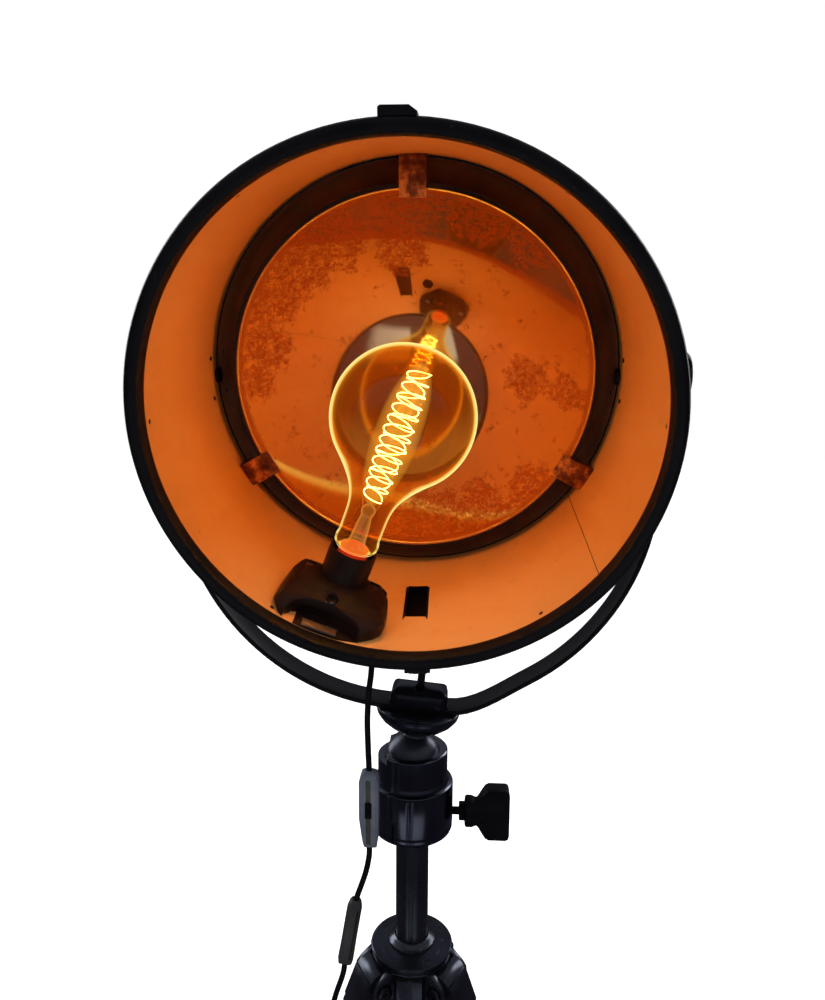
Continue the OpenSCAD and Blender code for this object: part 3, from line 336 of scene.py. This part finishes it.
def mirror_silver():
    """Old silvering under a film of dust, warm with painted bulb light: dark foxing in patches and
    a ragged brown edge.
    """
    n = Nodes("mirror_silver")
    place = n.add("ShaderNodeAttribute", attribute_name="in_drum").outputs["Vector"]
    fine = n.noise(170, 12, 0.86, at=place)
    grain = n.ramp(fine, (0.42, 0.0), (0.54, 1.0))
    flat = n.vector("MULTIPLY", place, (1, 1, 0))["Vector"]
    zone = 0.0
    for x, y, size in FOXING:
        gap = n.math("DIVIDE", n.vector("DISTANCE", flat, (x * MM, y * MM, 0))["Value"], size * MM)
        zone = n.math("MAXIMUM", zone, n.math("SUBTRACT", 1.0, gap, clamp=True))
    zone = n.math("ADD", n.math("MULTIPLY", zone, 0.42), n.noise(58, 10, 0.78, at=place))
    patch = n.ramp(zone, (0.56, 0.0), (0.64, 1.0))
    spots = n.math("MULTIPLY", grain, patch)
    out = n.vector("LENGTH", flat)["Value"]
    ragged = n.math("ADD", out, n.math("MULTIPLY", n.noise(60, 8, 0.7, at=place), 8 * MM))
    edge = n.ramp(n.math("DIVIDE", ragged, MIRROR_R), (0.985, 0.0), (1.0, 0.9))
    spots = n.math("MAXIMUM", spots, edge)
    cloud = n.ramp(n.noise(12, 6, 0.65, at=place), (0.35, 0.04), (0.7, 0.16))
    n.set(base=rgba((240, 214, 158)), metal=1.0,
          rough=n.ramp(n.noise(9, 3, at=place), (0.4, 0.03), (0.7, 0.07)))
    # painted light: the film's orange is the bulb's warm light on its dust, as on the enamel
    dust = n.mix(n.noise(40, 6, 0.7, at=place), (196, 112, 34), (168, 84, 20))
    film = n.add("ShaderNodeBsdfDiffuse", {"Color": dust})
    haze = n.add("ShaderNodeBsdfGlossy", {"Color": rgba((236, 170, 80)), "Roughness": 0.34})
    brown = n.add("ShaderNodeBsdfDiffuse", {"Color": n.mix(fine, (150, 66, 16), (92, 34, 7))})
    clean = n.blend(0.10, n.shader, haze)
    dusty = n.blend(cloud, clean, film)
    return n.surface(n.blend(n.math("MULTIPLY", spots, 0.9), dusty, brown))


def bulb_glass():
    """Clear in the middle; towards its rim a painted gold glow stands in for the filament's light
    bent through the glass, dimmer in the mirror.
    """
    n = Nodes("bulb_glass")
    facing = n.facing(0.32)
    # painted glow: the emission towards the rim stands in for the filament's light bent through the
    # glass
    rim = n.ramp(facing, (0.0, 0.015), (0.42, 0.03), (0.55, 0.10), (0.63, 0.6), (0.72, 1.0))
    direct = n.math("SUBTRACT", 1.0, n.add("ShaderNodeLightPath").outputs["Is Glossy Ray"])
    rim = n.math("MULTIPLY", rim, n.ramp(direct, (0.0, 0.3), (1.0, 1.0)))
    gloss = n.add("ShaderNodeBsdfGlossy", {"Color": (1.0, 0.9, 0.7, 1), "Roughness": 0.03})
    painted_glow_tint = n.ramp(facing, (0.3, (255, 130, 24)), (0.54, (255, 170, 50)), (0.64, (255, 232, 140)))
    skin = n.blend(0.03, n.clear((1.0, 0.84, 0.56, 1)), gloss)
    return n.surface(n.blend(rim, skin, n.emit(painted_glow_tint, 1.1)))


def stem_glass():
    """Clear glass with a painted glow for the wire's light on it, brightest at its edges."""
    n = Nodes("stem_glass")
    edge = n.ramp(n.facing(0.5), (0.2, 0.12), (0.9, 0.7))
    return n.surface(n.blend(edge, n.clear((1.0, 0.9, 0.72, 1)), n.emit((1.0, 0.5, 0.14, 1), 0.8)))


def halo():
    """A painted glow round the wire, standing in for its glare: strongest where it is looked
    through deepest.
    """
    n = Nodes("halo")
    depth = n.ramp(n.facing(0.5), (0.0, 0.5), (0.35, 0.22), (0.8, 0.0))
    return n.surface(n.blend(depth, n.clear((1, 1, 1, 1)), n.emit(rgba((255, 196, 90)), 1.0)))


def glowing_wire(name, colour, strength):
    n = Nodes(name)
    n.set(base=rgba(colour), rough=0.4, glow=rgba(colour), glow_by=strength)
    return n.mat


CLIP_METAL, ENAMEL, MIRROR_SILVER = clip_metal(), enamel(), mirror_silver()
# painted light: the liner's orange is the bulb's warm light on its paint, as on the enamel
LINER = paint("liner", (140, 78, 34), (170, 96, 44), (180, 110, 56), rough=(0.5, 0.65))
MIRROR_BACK = paint("mirror_back", (20, 12, 8), (34, 20, 12), (60, 40, 24), rough=(0.6, 0.8),
                    specular=0.2)
BULB_GLASS, STEM_GLASS = bulb_glass(), stem_glass()
HOT_WIRE = glowing_wire("hot_wire", (255, 236, 170), 9.0)
# painted glow: the cap's emission stands in for the bulb's warm light on it
CAP_PAINTED_GLOW = glowing_wire("cap_painted_glow", (200, 44, 10), 0.45)
HALO = halo()


# ---------- mesh helpers ----------
def added(name, data):
    """A new object in the scene."""
    obj = bpy.data.objects.new(name, data)
    bpy.context.scene.collection.objects.link(obj)
    return obj


def smooth_mesh(name, bm, mat):
    """The finished bmesh as an object of one material, shaded smooth."""
    data = bpy.data.meshes.new(name)
    bm.normal_update()
    bm.to_mesh(data)
    bm.free()
    data.materials.append(mat)
    data.shade_smooth()
    return added(name, data)


def revolve(name, outline, mat, body, place, steps, closed=True):
    """outline: (radius, height) points; the surface turns about place's z axis."""
    bm = bmesh.new()
    rings = []
    for r, z in outline:
        if r < 1e-7:
            rings.append([bm.verts.new(place @ Vector((0, 0, z)))])
        else:
            rings.append([bm.verts.new(place @ Vector((r * math.cos(a), r * math.sin(a), z)))
                          for a in (2 * math.pi * k / steps for k in range(steps))])
    pairs = list(zip(rings, rings[1:])) + ([(rings[-1], rings[0])] if closed else [])
    for a, b in pairs:
        for k in range(steps):
            i, j = k % len(a), (k + 1) % len(a)
            p, q = k % len(b), (k + 1) % len(b)
            corners = [a[i], a[j], b[q], b[p]]
            face = [v for n, v in enumerate(corners) if v not in corners[:n]]
            if len(face) > 2:
                bm.faces.new(face)
    bmesh.ops.recalc_face_normals(bm, faces=bm.faces)
    obj = smooth_mesh(name, bm, mat)
    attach(obj, body)
    return obj


def tube(name, points, radius, mat, body):
    """A smooth round tube along points in the row frame."""
    data = bpy.data.curves.new(name, "CURVE")
    data.dimensions = "3D"
    data.bevel_depth = radius
    data.bevel_resolution = 3
    data.use_fill_caps = True
    line = data.splines.new("POLY")
    line.points.add(len(points) - 1)
    for point, where in zip(line.points, points):
        point.co = (*where, 1)
    data.materials.append(mat)
    obj = added(name, data)
    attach(obj, body)
    return obj


def spline(points):
    """The smooth curve through the points that the source's cords follow."""
    out = []
    last = len(points) - 1
    for i in range(last):
        a, b = points[max(i - 1, 0)], points[i]
        c, d = points[i + 1], points[min(i + 2, last)]
        for k in range(SPAN_STEPS):
            u = k / SPAN_STEPS
            out.append(0.5 * (2 * b + (c - a) * u + (2 * a - 5 * b + 4 * c - d) * u ** 2
                              + (3 * b - a - 3 * c + d) * u ** 3))
    out.append(points[-1])
    return out


def swept(name, points):
    """A stretch of cord along points, in the row frame."""
    sides = 16
    bm = bmesh.new()
    rings, side = [], Vector((1, 0, 0))
    for i, p in enumerate(points):
        along = (points[min(i + 1, len(points) - 1)] - points[max(i - 1, 0)]).normalized()
        side = (side - along * side.dot(along)).normalized()
        other = along.cross(side)
        rings.append([bm.verts.new(p + CORD_R * (math.cos(a) * side + math.sin(a) * other))
                      for a in (2 * math.pi * k / sides for k in range(sides))])
    for a, b in zip(rings, rings[1:]):
        for k in range(sides):
            bm.faces.new((a[k], a[(k + 1) % sides], b[(k + 1) % sides], b[k]))
    bm.faces.new(rings[0][::-1])
    bm.faces.new(rings[-1])
    return smooth_mesh(name, bm, CORD_SKIN)


# ---------- cords ----------
# The route points are the CAD source's, in millimetres from the foot of the column's axis. Only the
# four below the in-line box differ: they pass up to 12 mm further forward, clear of leg_head_1.
GLAND_PHI, GLAND_T, GLAND_H = math.radians(-9.5), 92, 27    # the gland: place, depth, its outer end
SWITCH_TOP, SWITCH_END = (-41.3, -55, 1177), (-41.3, -55, 1094)
BOX_TOP, BOX_END = (-55.5, -55, 1032), (-67.7, -55, 958)
COIL_MIDDLE, COIL_INNER, COIL_PITCH = (-72, -189), 26, 6.7  # place, inner radius, growth in a turn
COIL_START, COIL_TURN_BACK, COIL_STEP = 168, 960, 7.5       # degrees
COIL_LAYER = 6.7                                            # from one layer up to the next
TAIL, TAIL_STEPS, PLUG_Z = 104, 20, 7.1                     # the straight end and the plug's height
TAIL_LANDS, TAIL_RISE = 0.55, 0.35                          # shares of the tail
SPAN_STEPS = 8                                              # rings between two route points


def gland_point(height):
    """A point on the cable gland's axis, height millimetres out from the drum's inner face."""
    reach = DRUM_R + height * MM
    return IN_DRUM @ Vector((math.sin(GLAND_PHI) * reach, -math.cos(GLAND_PHI) * reach,
                             PIN_BACK - GLAND_T * MM))


def ease(u):
    """0 to 1, slow at both ends."""
    u = max(0.0, min(1.0, u))
    return u * u * (3 - 2 * u)


def coil_point(a):
    """A point of the coil at a degrees: in along the floor, up a layer, and out again."""
    r = COIL_INNER + COIL_PITCH * abs(a - COIL_TURN_BACK) / 360
    turn = math.radians(COIL_START + a)
    return column_point(COIL_MIDDLE[0] + r * math.cos(turn), COIL_MIDDLE[1] + r * math.sin(turn),
                        CORD_R / MM + COIL_LAYER * ease((a - COIL_TURN_BACK) / 180 + 0.5))


def upper_route():
    hand = [(-38.4, -49, 1298), (-39.2, -53, 1278), (-41.5, -55, 1258), (-42.8, -55, 1230),
            (-42.2, -55, 1202), SWITCH_TOP]
    return [gland_point(GLAND_H), gland_point(GLAND_H + 12)] + [column_point(*p) for p in hand]


def middle_route():
    hand = [SWITCH_END, (-41.6, -55, 1082), (-45, -55, 1064), (-51, -55, 1045), BOX_TOP]
    return [column_point(*p) for p in hand]


def lower_route():
    top, end = Vector(BOX_TOP), Vector(BOX_END)
    below = end + (end - top).normalized() * 16
    hand = [BOX_END, tuple(below), (-80, -60, 911), (-89, -84, 862), (-94, -100, 800),
            (-96, -112, 720), (-96, -116, 620), (-97, -118, 480), (-97, -118, 330),
            (-97, -118, 200), (-98, -119, 120), (-99, -121, 70), (-102, -126, 36), (-106, -136, 14),
            (-109, -150, 5), (-112, -165, 3)]
    return [column_point(*p) for p in hand] + [coil_point(0)]


def coil_route():
    """In along the floor, out again on top, then down to the floor and on to the plug."""
    turns = [coil_point(COIL_STEP * i) for i in range(round(2 * COIL_TURN_BACK / COIL_STEP) + 1)]
    last = turns[-1]
    before = coil_point(2 * COIL_TURN_BACK - 2 * COIL_STEP)
    off = last - before
    off.z = 0
    off.normalize()
    for i in range(1, TAIL_STEPS + 1):
        u = i / TAIL_STEPS
        z = (last.z + (CORD_R - last.z) * ease(u / TAIL_LANDS) if u < TAIL_LANDS
             else CORD_R + (PLUG_Z * MM - CORD_R) * ease((u - TAIL_LANDS) / TAIL_RISE))
        turns.append(Vector((last.x + off.x * TAIL * MM * u, last.y + off.y * TAIL * MM * u, z)))
    return turns


def make_cords():
    upper, middle, lower = (spline(route()) for route in (upper_route, middle_route, lower_route))
    coil = coil_route()
    # the hanging stretch is cut where it passes from one moving body's care to the next
    cuts = [0, 3 * SPAN_STEPS, 5 * SPAN_STEPS, len(lower) - 1]
    parts = [lower[a:b + 1] for a, b in zip(cuts, cuts[1:])]

    piece = swept("flex_upper", upper)
    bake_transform(piece)
    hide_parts("cord_upper")

    piece = swept("flex_middle", middle)
    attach(piece, "head")
    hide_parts("cord_middle")

    # each stretch hangs from one body and ends on the next; in metres, the heights between which
    spans = [("flex_lower_a", "head", "pan", 0.955, 0.865),
             ("flex_lower_b", "pan", "column", 0.860, 0.745),
             ("flex_lower_c", "column", "tripod", 0.715, 0.130)]
    for (name, a, b, high, low), points in zip(spans, parts):
        piece = swept(name, points)
        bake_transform(piece)
        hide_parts("cord_lower")

    piece = swept("flex_coil", coil)
    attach(piece, "tripod")
    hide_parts("cord_coil")


make_cords()


# ---------- bulb: millimetres over the holder's foot ----------
NECK = [(19.2, 74), (20.3, 69), (20.0, 64.6), (17.6, 61.6), (14.2, 60.4)]
FLANK_FROM = math.radians(-42)                # where the flank leaves the globe
GLASS_W = 1.0
FILAMENT_LOW, FILAMENT_HIGH, FILAMENT_R, WIRE_R = 112, 232, 13, 0.5
FILAMENT_TURNS, RETURN_TURNS = 7, 1.7         # turns on the way up; times as many on the way down
TURN_STEPS = 50
HALO_R, HALO_BEYOND, HALO_STEPS = 21, 8, 24   # the halo's radius, and its reach past the filament
BULB_LIGHT_H = 175


def glass_outline(inset):
    """Radius and height of the bulb glass: globe, flank as one cubic, and neck."""
    r = GLOBE_R / MM - inset
    low, steps, flank_steps = FLANK_FROM, 64, 24
    out = [(r * math.cos(a), GLOBE_H / MM + r * math.sin(a))
           for a in (math.pi / 2 + (low - math.pi / 2) * i / steps for i in range(steps + 1))]
    start = Vector(out[-1])
    first = start + Vector((math.sin(low), -math.cos(low))) * 44
    end = Vector((NECK[0][0] - inset, 80))
    second = end + Vector((0.2, 26))
    for i in range(1, flank_steps + 1):
        u = i / flank_steps
        v = 1 - u
        out.append(tuple(v ** 3 * start + 3 * v * v * u * first + 3 * v * u * u * second
                         + u ** 3 * end))
    out += [(x - inset, y + (inset if x < 18 else 0)) for x, y in NECK]
    return [(x * MM, y * MM) for x, y in out]


def make_bulb():
    shell = glass_outline(0) + glass_outline(GLASS_W)[::-1]
    glass = revolve("bulb_skin", shell, BULB_GLASS, "drum", IN_HOLDER, 128)
    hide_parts("bulb_glass")

    # the wire winds up and, still turning the same way, back down, so its turns cross
    wire = []
    count = TURN_STEPS * FILAMENT_TURNS
    for i in range(2 * count + 1):
        u = 1 - abs(i / count - 1)
        r = FILAMENT_R * (0.62 + 0.26 * math.sin(math.pi * u) + (0.12 if i > count else 0.0))
        a = 2 * math.pi * FILAMENT_TURNS * (u if i <= count else 1 + RETURN_TURNS * (1 - u))
        height = FILAMENT_LOW + (FILAMENT_HIGH - FILAMENT_LOW) * u
        wire.append(IN_HOLDER @ (Vector((r * math.cos(a), r * math.sin(a), height)) * MM))
    spiral = tube("filament_spiral", wire, WIRE_R * MM, HOT_WIRE, "drum")
    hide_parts("filament")

    # the haze of light round the wire
    middle = (FILAMENT_LOW + FILAMENT_HIGH) / 2
    reach = (FILAMENT_HIGH - FILAMENT_LOW) / 2 + HALO_BEYOND
    cloud = [(HALO_R * MM * math.sin(a), (middle - reach * math.cos(a)) * MM)
             for a in (math.pi * i / HALO_STEPS for i in range(HALO_STEPS + 1))]
    cloud[0], cloud[-1] = (0.0, cloud[0][1]), (0.0, cloud[-1][1])
    haze = revolve("filament_halo", cloud, HALO, "drum", IN_HOLDER, 48, closed=False)
    haze.visible_shadow = False


make_bulb()


# ---------- mirror ----------
def make_mirror():
    steps, around = 72, 256
    lip_out, lip_back = 4 * MM, 5 * MM
    face, back = [], []
    for i in [*range(steps - 1), steps - 1.01, steps - 0.99, steps]:    # closer rings near the rim
        r = MIRROR_R * i / steps
        depth = MIRROR_T + MIRROR_H * (1 - (r / MIRROR_R) ** 2)
        face.append((r, PIN_BACK - depth))
        back.append((r, PIN_BACK - depth - MIRROR_W))
    rim = PIN_BACK - MIRROR_T
    lip = [(MIRROR_R + lip_out, rim), (MIRROR_R + lip_out, rim - lip_back)]
    bowl = revolve("mirror_bowl", face + lip + back[:-1][::-1], MIRROR_SILVER, "drum", IN_DRUM,
                   around, closed=False)
    bowl.data.materials.append(MIRROR_BACK)
    for i, polygon in enumerate(bowl.data.polygons):
        front = i < (len(face) - 1) * around
        polygon.material_index = 0 if front else 1
        polygon.use_smooth = front
    # the silver's pattern is laid out from the mirror's own axis
    into = IN_DRUM.inverted()
    spot = bowl.data.attributes.new("in_drum", "FLOAT_VECTOR", "POINT")
    for vertex, value in zip(bowl.data.vertices, spot.data):
        value.vector = into @ vertex.co
    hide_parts("mirror_glass")


make_mirror()


# ---------- finish of the CAD pieces that stay ----------
def dress(mat, bevel, *names):
    """Puts a material on CAD nodes, rounds their edges by bevel metres and smooths their curves."""
    for name in names:
        node = NODES[name]
        node.data.materials.clear()
        node.data.materials.append(mat)
        weld = node.modifiers.new("weld", "WELD")
        weld.merge_threshold = 1e-6
        if bevel:
            round_off = node.modifiers.new("round", "BEVEL")
            round_off.width, round_off.segments = bevel, 2
            round_off.limit_method, round_off.angle_limit = "ANGLE", BEVEL_FROM
            round_off.harden_normals = False
        node.data.shade_smooth()
        node.modifiers.new("smooth", "NODES").node_group = SMOOTH


def smooth_by_angle(limit):
    """A small geometry-nodes group that keeps edges sharper than limit crisp."""
    group = bpy.data.node_groups.new("smooth_by_angle", "GeometryNodeTree")
    group.interface.new_socket("Geometry", in_out="INPUT", socket_type="NodeSocketGeometry")
    group.interface.new_socket("Geometry", in_out="OUTPUT", socket_type="NodeSocketGeometry")
    start, end = group.nodes.new("NodeGroupInput"), group.nodes.new("NodeGroupOutput")
    angle = group.nodes.new("GeometryNodeInputMeshEdgeAngle")
    less = group.nodes.new("FunctionNodeCompare")
    less.operation = "LESS_THAN"
    less.inputs["B"].default_value = limit
    soft = group.nodes.new("GeometryNodeSetShadeSmooth")
    soft.domain = "EDGE"
    group.links.new(angle.outputs[0], less.inputs["A"])
    group.links.new(less.outputs[0], soft.inputs["Shade Smooth"])
    group.links.new(start.outputs[0], soft.inputs["Geometry"])
    group.links.new(soft.outputs[0], end.inputs[0])
    return group


BEVEL_FROM = math.radians(38)
SMOOTH = smooth_by_angle(math.radians(32))
dress(BLACK_PAINT, 0, "drum_barrel", "rear_pan", "front_ring")
dress(BLACK_PAINT, 0.0006, "ring_lugs", "slot_hood", "yoke_bar")
dress(BLACK_PAINT, 0.0002, "case_screws", "yoke_stud")
dress(BLACK_PAINT, 0.0008, "trunnion_pins")
dress(CLIP_METAL, 0.0005, "mirror_clips")
dress(STEEL, 0.0002, "clip_screws", "base_screws", "ball_saddle", "plug_pins")
dress(BOLT, 0.0004, "hinge_bolts")
dress(BAKELITE, 0.0006, "lampholder_base")
dress(BAKELITE, 0.0004, "lampholder_sleeve")
dress(STRIP, 0.0003, "base_strip")
dress(BRASS, 0.0002, "socket_shell")
dress(CAP_PAINTED_GLOW, 0.0002, "bulb_cap")
dress(STEM_GLASS, 0, "bulb_stem")
dress(BLACK_PLASTIC, 0.0006, "cable_gland", "knob_left", "knob_right", "switch_button",
      "plug_body", "leg_lock_1", "leg_lock_2", "leg_lock_3")
dress(BLACK_PLASTIC, 0.0012, "lock_knob")
dress(HEAD_METAL, 0.0005, "head_cup", "head_housing")
dress(SEAT_METAL, 0.0005, "seat_disc", "yoke_block")
dress(BALL_METAL, 0, "ball_stem")
dress(SEAT_METAL, 0.0004, "shoulder_ring")
dress(TRIPOD_PAINT, 0.0005, "column_collar", "shoulder_casting", "leg_head_1", "leg_head_2",
      "leg_head_3", "column_tube", "leg_tube_1", "leg_tube_2", "leg_tube_3", "leg_slide_1",
      "leg_slide_2", "leg_slide_3")
dress(RUBBER, 0.001, "foot_1", "foot_2", "foot_3")
dress(GREY_PLASTIC, 0.001, "switch_body")
dress(BOX_PLASTIC, 0.001, "inline_box")


def paint_inside(node, mat):
    """A second finish on a shell's inner faces: those whose normal points at the drum's axis."""
    node.data.materials.append(mat)
    back = IN_DRUM.inverted()
    turn = back.to_3x3()
    slack = 0.4 * MM
    for face in node.data.polygons:
        at, out = back @ face.center, turn @ face.normal
        inward = at.x * out.x + at.y * out.y < -0.5 * math.hypot(at.x, at.y)
        if inward and math.hypot(at.x, at.y) < DRUM_R + slack:
            face.material_index = 1


def paint_groove(node, mat, front):
    """A second finish on the floor of the groove that lies behind the front face at y = front."""
    node.data.materials.append(mat)
    least, most = 0.3 * MM, 1.6 * MM
    for face in node.data.polygons:
        if face.normal.y < -0.999 and least < face.center.y - front < most:
            face.material_index = 1


SWITCH_FRONT, BOX_FRONT = -65, -62              # millimetres from the column's axis
paint_inside(NODES["drum_barrel"], ENAMEL)
paint_inside(NODES["rear_pan"], LINER)
paint_groove(NODES["switch_body"], BAND, column_point(0, SWITCH_FRONT, 0).y)
paint_groove(NODES["inline_box"], BOX_BAND, column_point(0, BOX_FRONT, 0).y)


# ---------- stage and light ----------
def make_floor():
    """A pale floor that is lifted towards white where it is seen; polished faces don't see it."""
    bm = bmesh.new()
    half = 14.0
    corners = [bm.verts.new((x * half, y * half, 0))
               for x, y in ((-1, -1), (1, -1), (1, 1), (-1, 1))]
    bm.faces.new(corners)
    data = bpy.data.meshes.new("floor")
    bm.to_mesh(data)
    bm.free()
    floor = added("floor", data)
    n = Nodes("floor")
    n.set(base=n.ramp(n.noise(1.2), (0.3, (238, 238, 238)), (0.7, (243, 243, 243))), rough=0.9,
          specular=0.1)
    lift = n.emit((1, 1, 1, 1), n.math("MULTIPLY", n.seen(), 0.6))
    data.materials.append(n.surface(n.add("ShaderNodeAddShader", {0: n.shader, 1: lift})))
    floor.visible_glossy = False


def make_world():
    """White where it is seen and pale grey for diffuse light. Polished faces see a dark studio
    instead, with a paler ceiling and two tall windows low in front of the lamp, on either side of
    whoever looks at it."""
    world = bpy.data.worlds.new("world")
    bpy.context.scene.world = world
    world.use_nodes = True
    t = Tree(world.node_tree)
    way = t.add("ShaderNodeSeparateXYZ",
                {0: t.add("ShaderNodeTexCoord").outputs["Generated"]}).outputs
    ahead = t.math("MAXIMUM", t.math("MULTIPLY", way["Y"], -1.0), 0.001)
    sideways, height = (t.add("ShaderNodeMapRange", {"Value": value, "From Min": -1.0,
                                                     "From Max": 1.0}).outputs[0]
                        for value in (t.math("DIVIDE", way["X"], ahead), way["Z"]))
    windows = t.ramp(sideways, (0.16, 0.0), (0.19, 1.0), (0.39, 1.0), (0.41, 0.0), (0.52, 0.0),
                     (0.54, 1.0), (0.80, 0.7), (0.90, 0.0))
    low = t.ramp(height, (0.12, 0.0), (0.15, 1.0), (0.28, 1.0), (0.33, 0.0))
    dark = t.ramp(height, (0.0, (58, 56, 68)), (0.55, (44, 40, 52)), (0.72, (130, 132, 142)))
    shine = t.mix(t.math("MULTIPLY", windows, low), dark, (196, 198, 210))
    glossy = t.add("ShaderNodeLightPath").outputs["Is Glossy Ray"]
    base = t.mix(glossy, (206, 206, 208), shine)
    t.put(t.tree.nodes["Background"].inputs["Color"], t.mix(t.seen(), base, (255, 255, 255)))


def softbox(name, place, target, size, power, shiny=False):
    """shiny: polished faces see the light itself too."""
    data = bpy.data.lights.new(name, "AREA")
    data.shape, data.size, data.size_y = "RECTANGLE", size[0], size[1]
    data.energy = power
    lamp = added(name, data)
    lamp.location = place
    lamp.rotation_mode = "QUATERNION"
    lamp.rotation_quaternion = (Vector(target) - Vector(place)).to_track_quat("-Z", "Y")
    lamp.visible_glossy = shiny


def make_lights():
    softbox("key", (-2.2, -2.4, 3.2), (0, 0, 1.3), (1.6, 2.2), 60)
    softbox("fill", (2.6, -1.8, 2.4), (0, 0, 1.2), (1.2, 2.0), 30)
    # behind the lamp, where its mirror can't see them: they draw the edges of the dark pieces
    softbox("back_left", (-2.8, 1.6, 2.2), (0, 0, 1.3), (1.2, 2.4), 36, shiny=True)
    softbox("back_right", (2.6, 2.2, 2.6), (0, 0, 1.3), (1.2, 2.4), 36, shiny=True)
    data = bpy.data.lights.new("bulb_light", "POINT")
    data.energy, data.color, data.shadow_soft_size = 1.6, (1.0, 0.57, 0.2), 0.03
    lamp = added("bulb_light", data)
    lamp.location = IN_HOLDER @ Vector((0, 0, BULB_LIGHT_H * MM))
    lamp.visible_glossy = False
    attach(lamp, "drum")


make_floor()
make_world()
make_lights()
bpy.context.scene.view_settings.view_transform = "Standard"
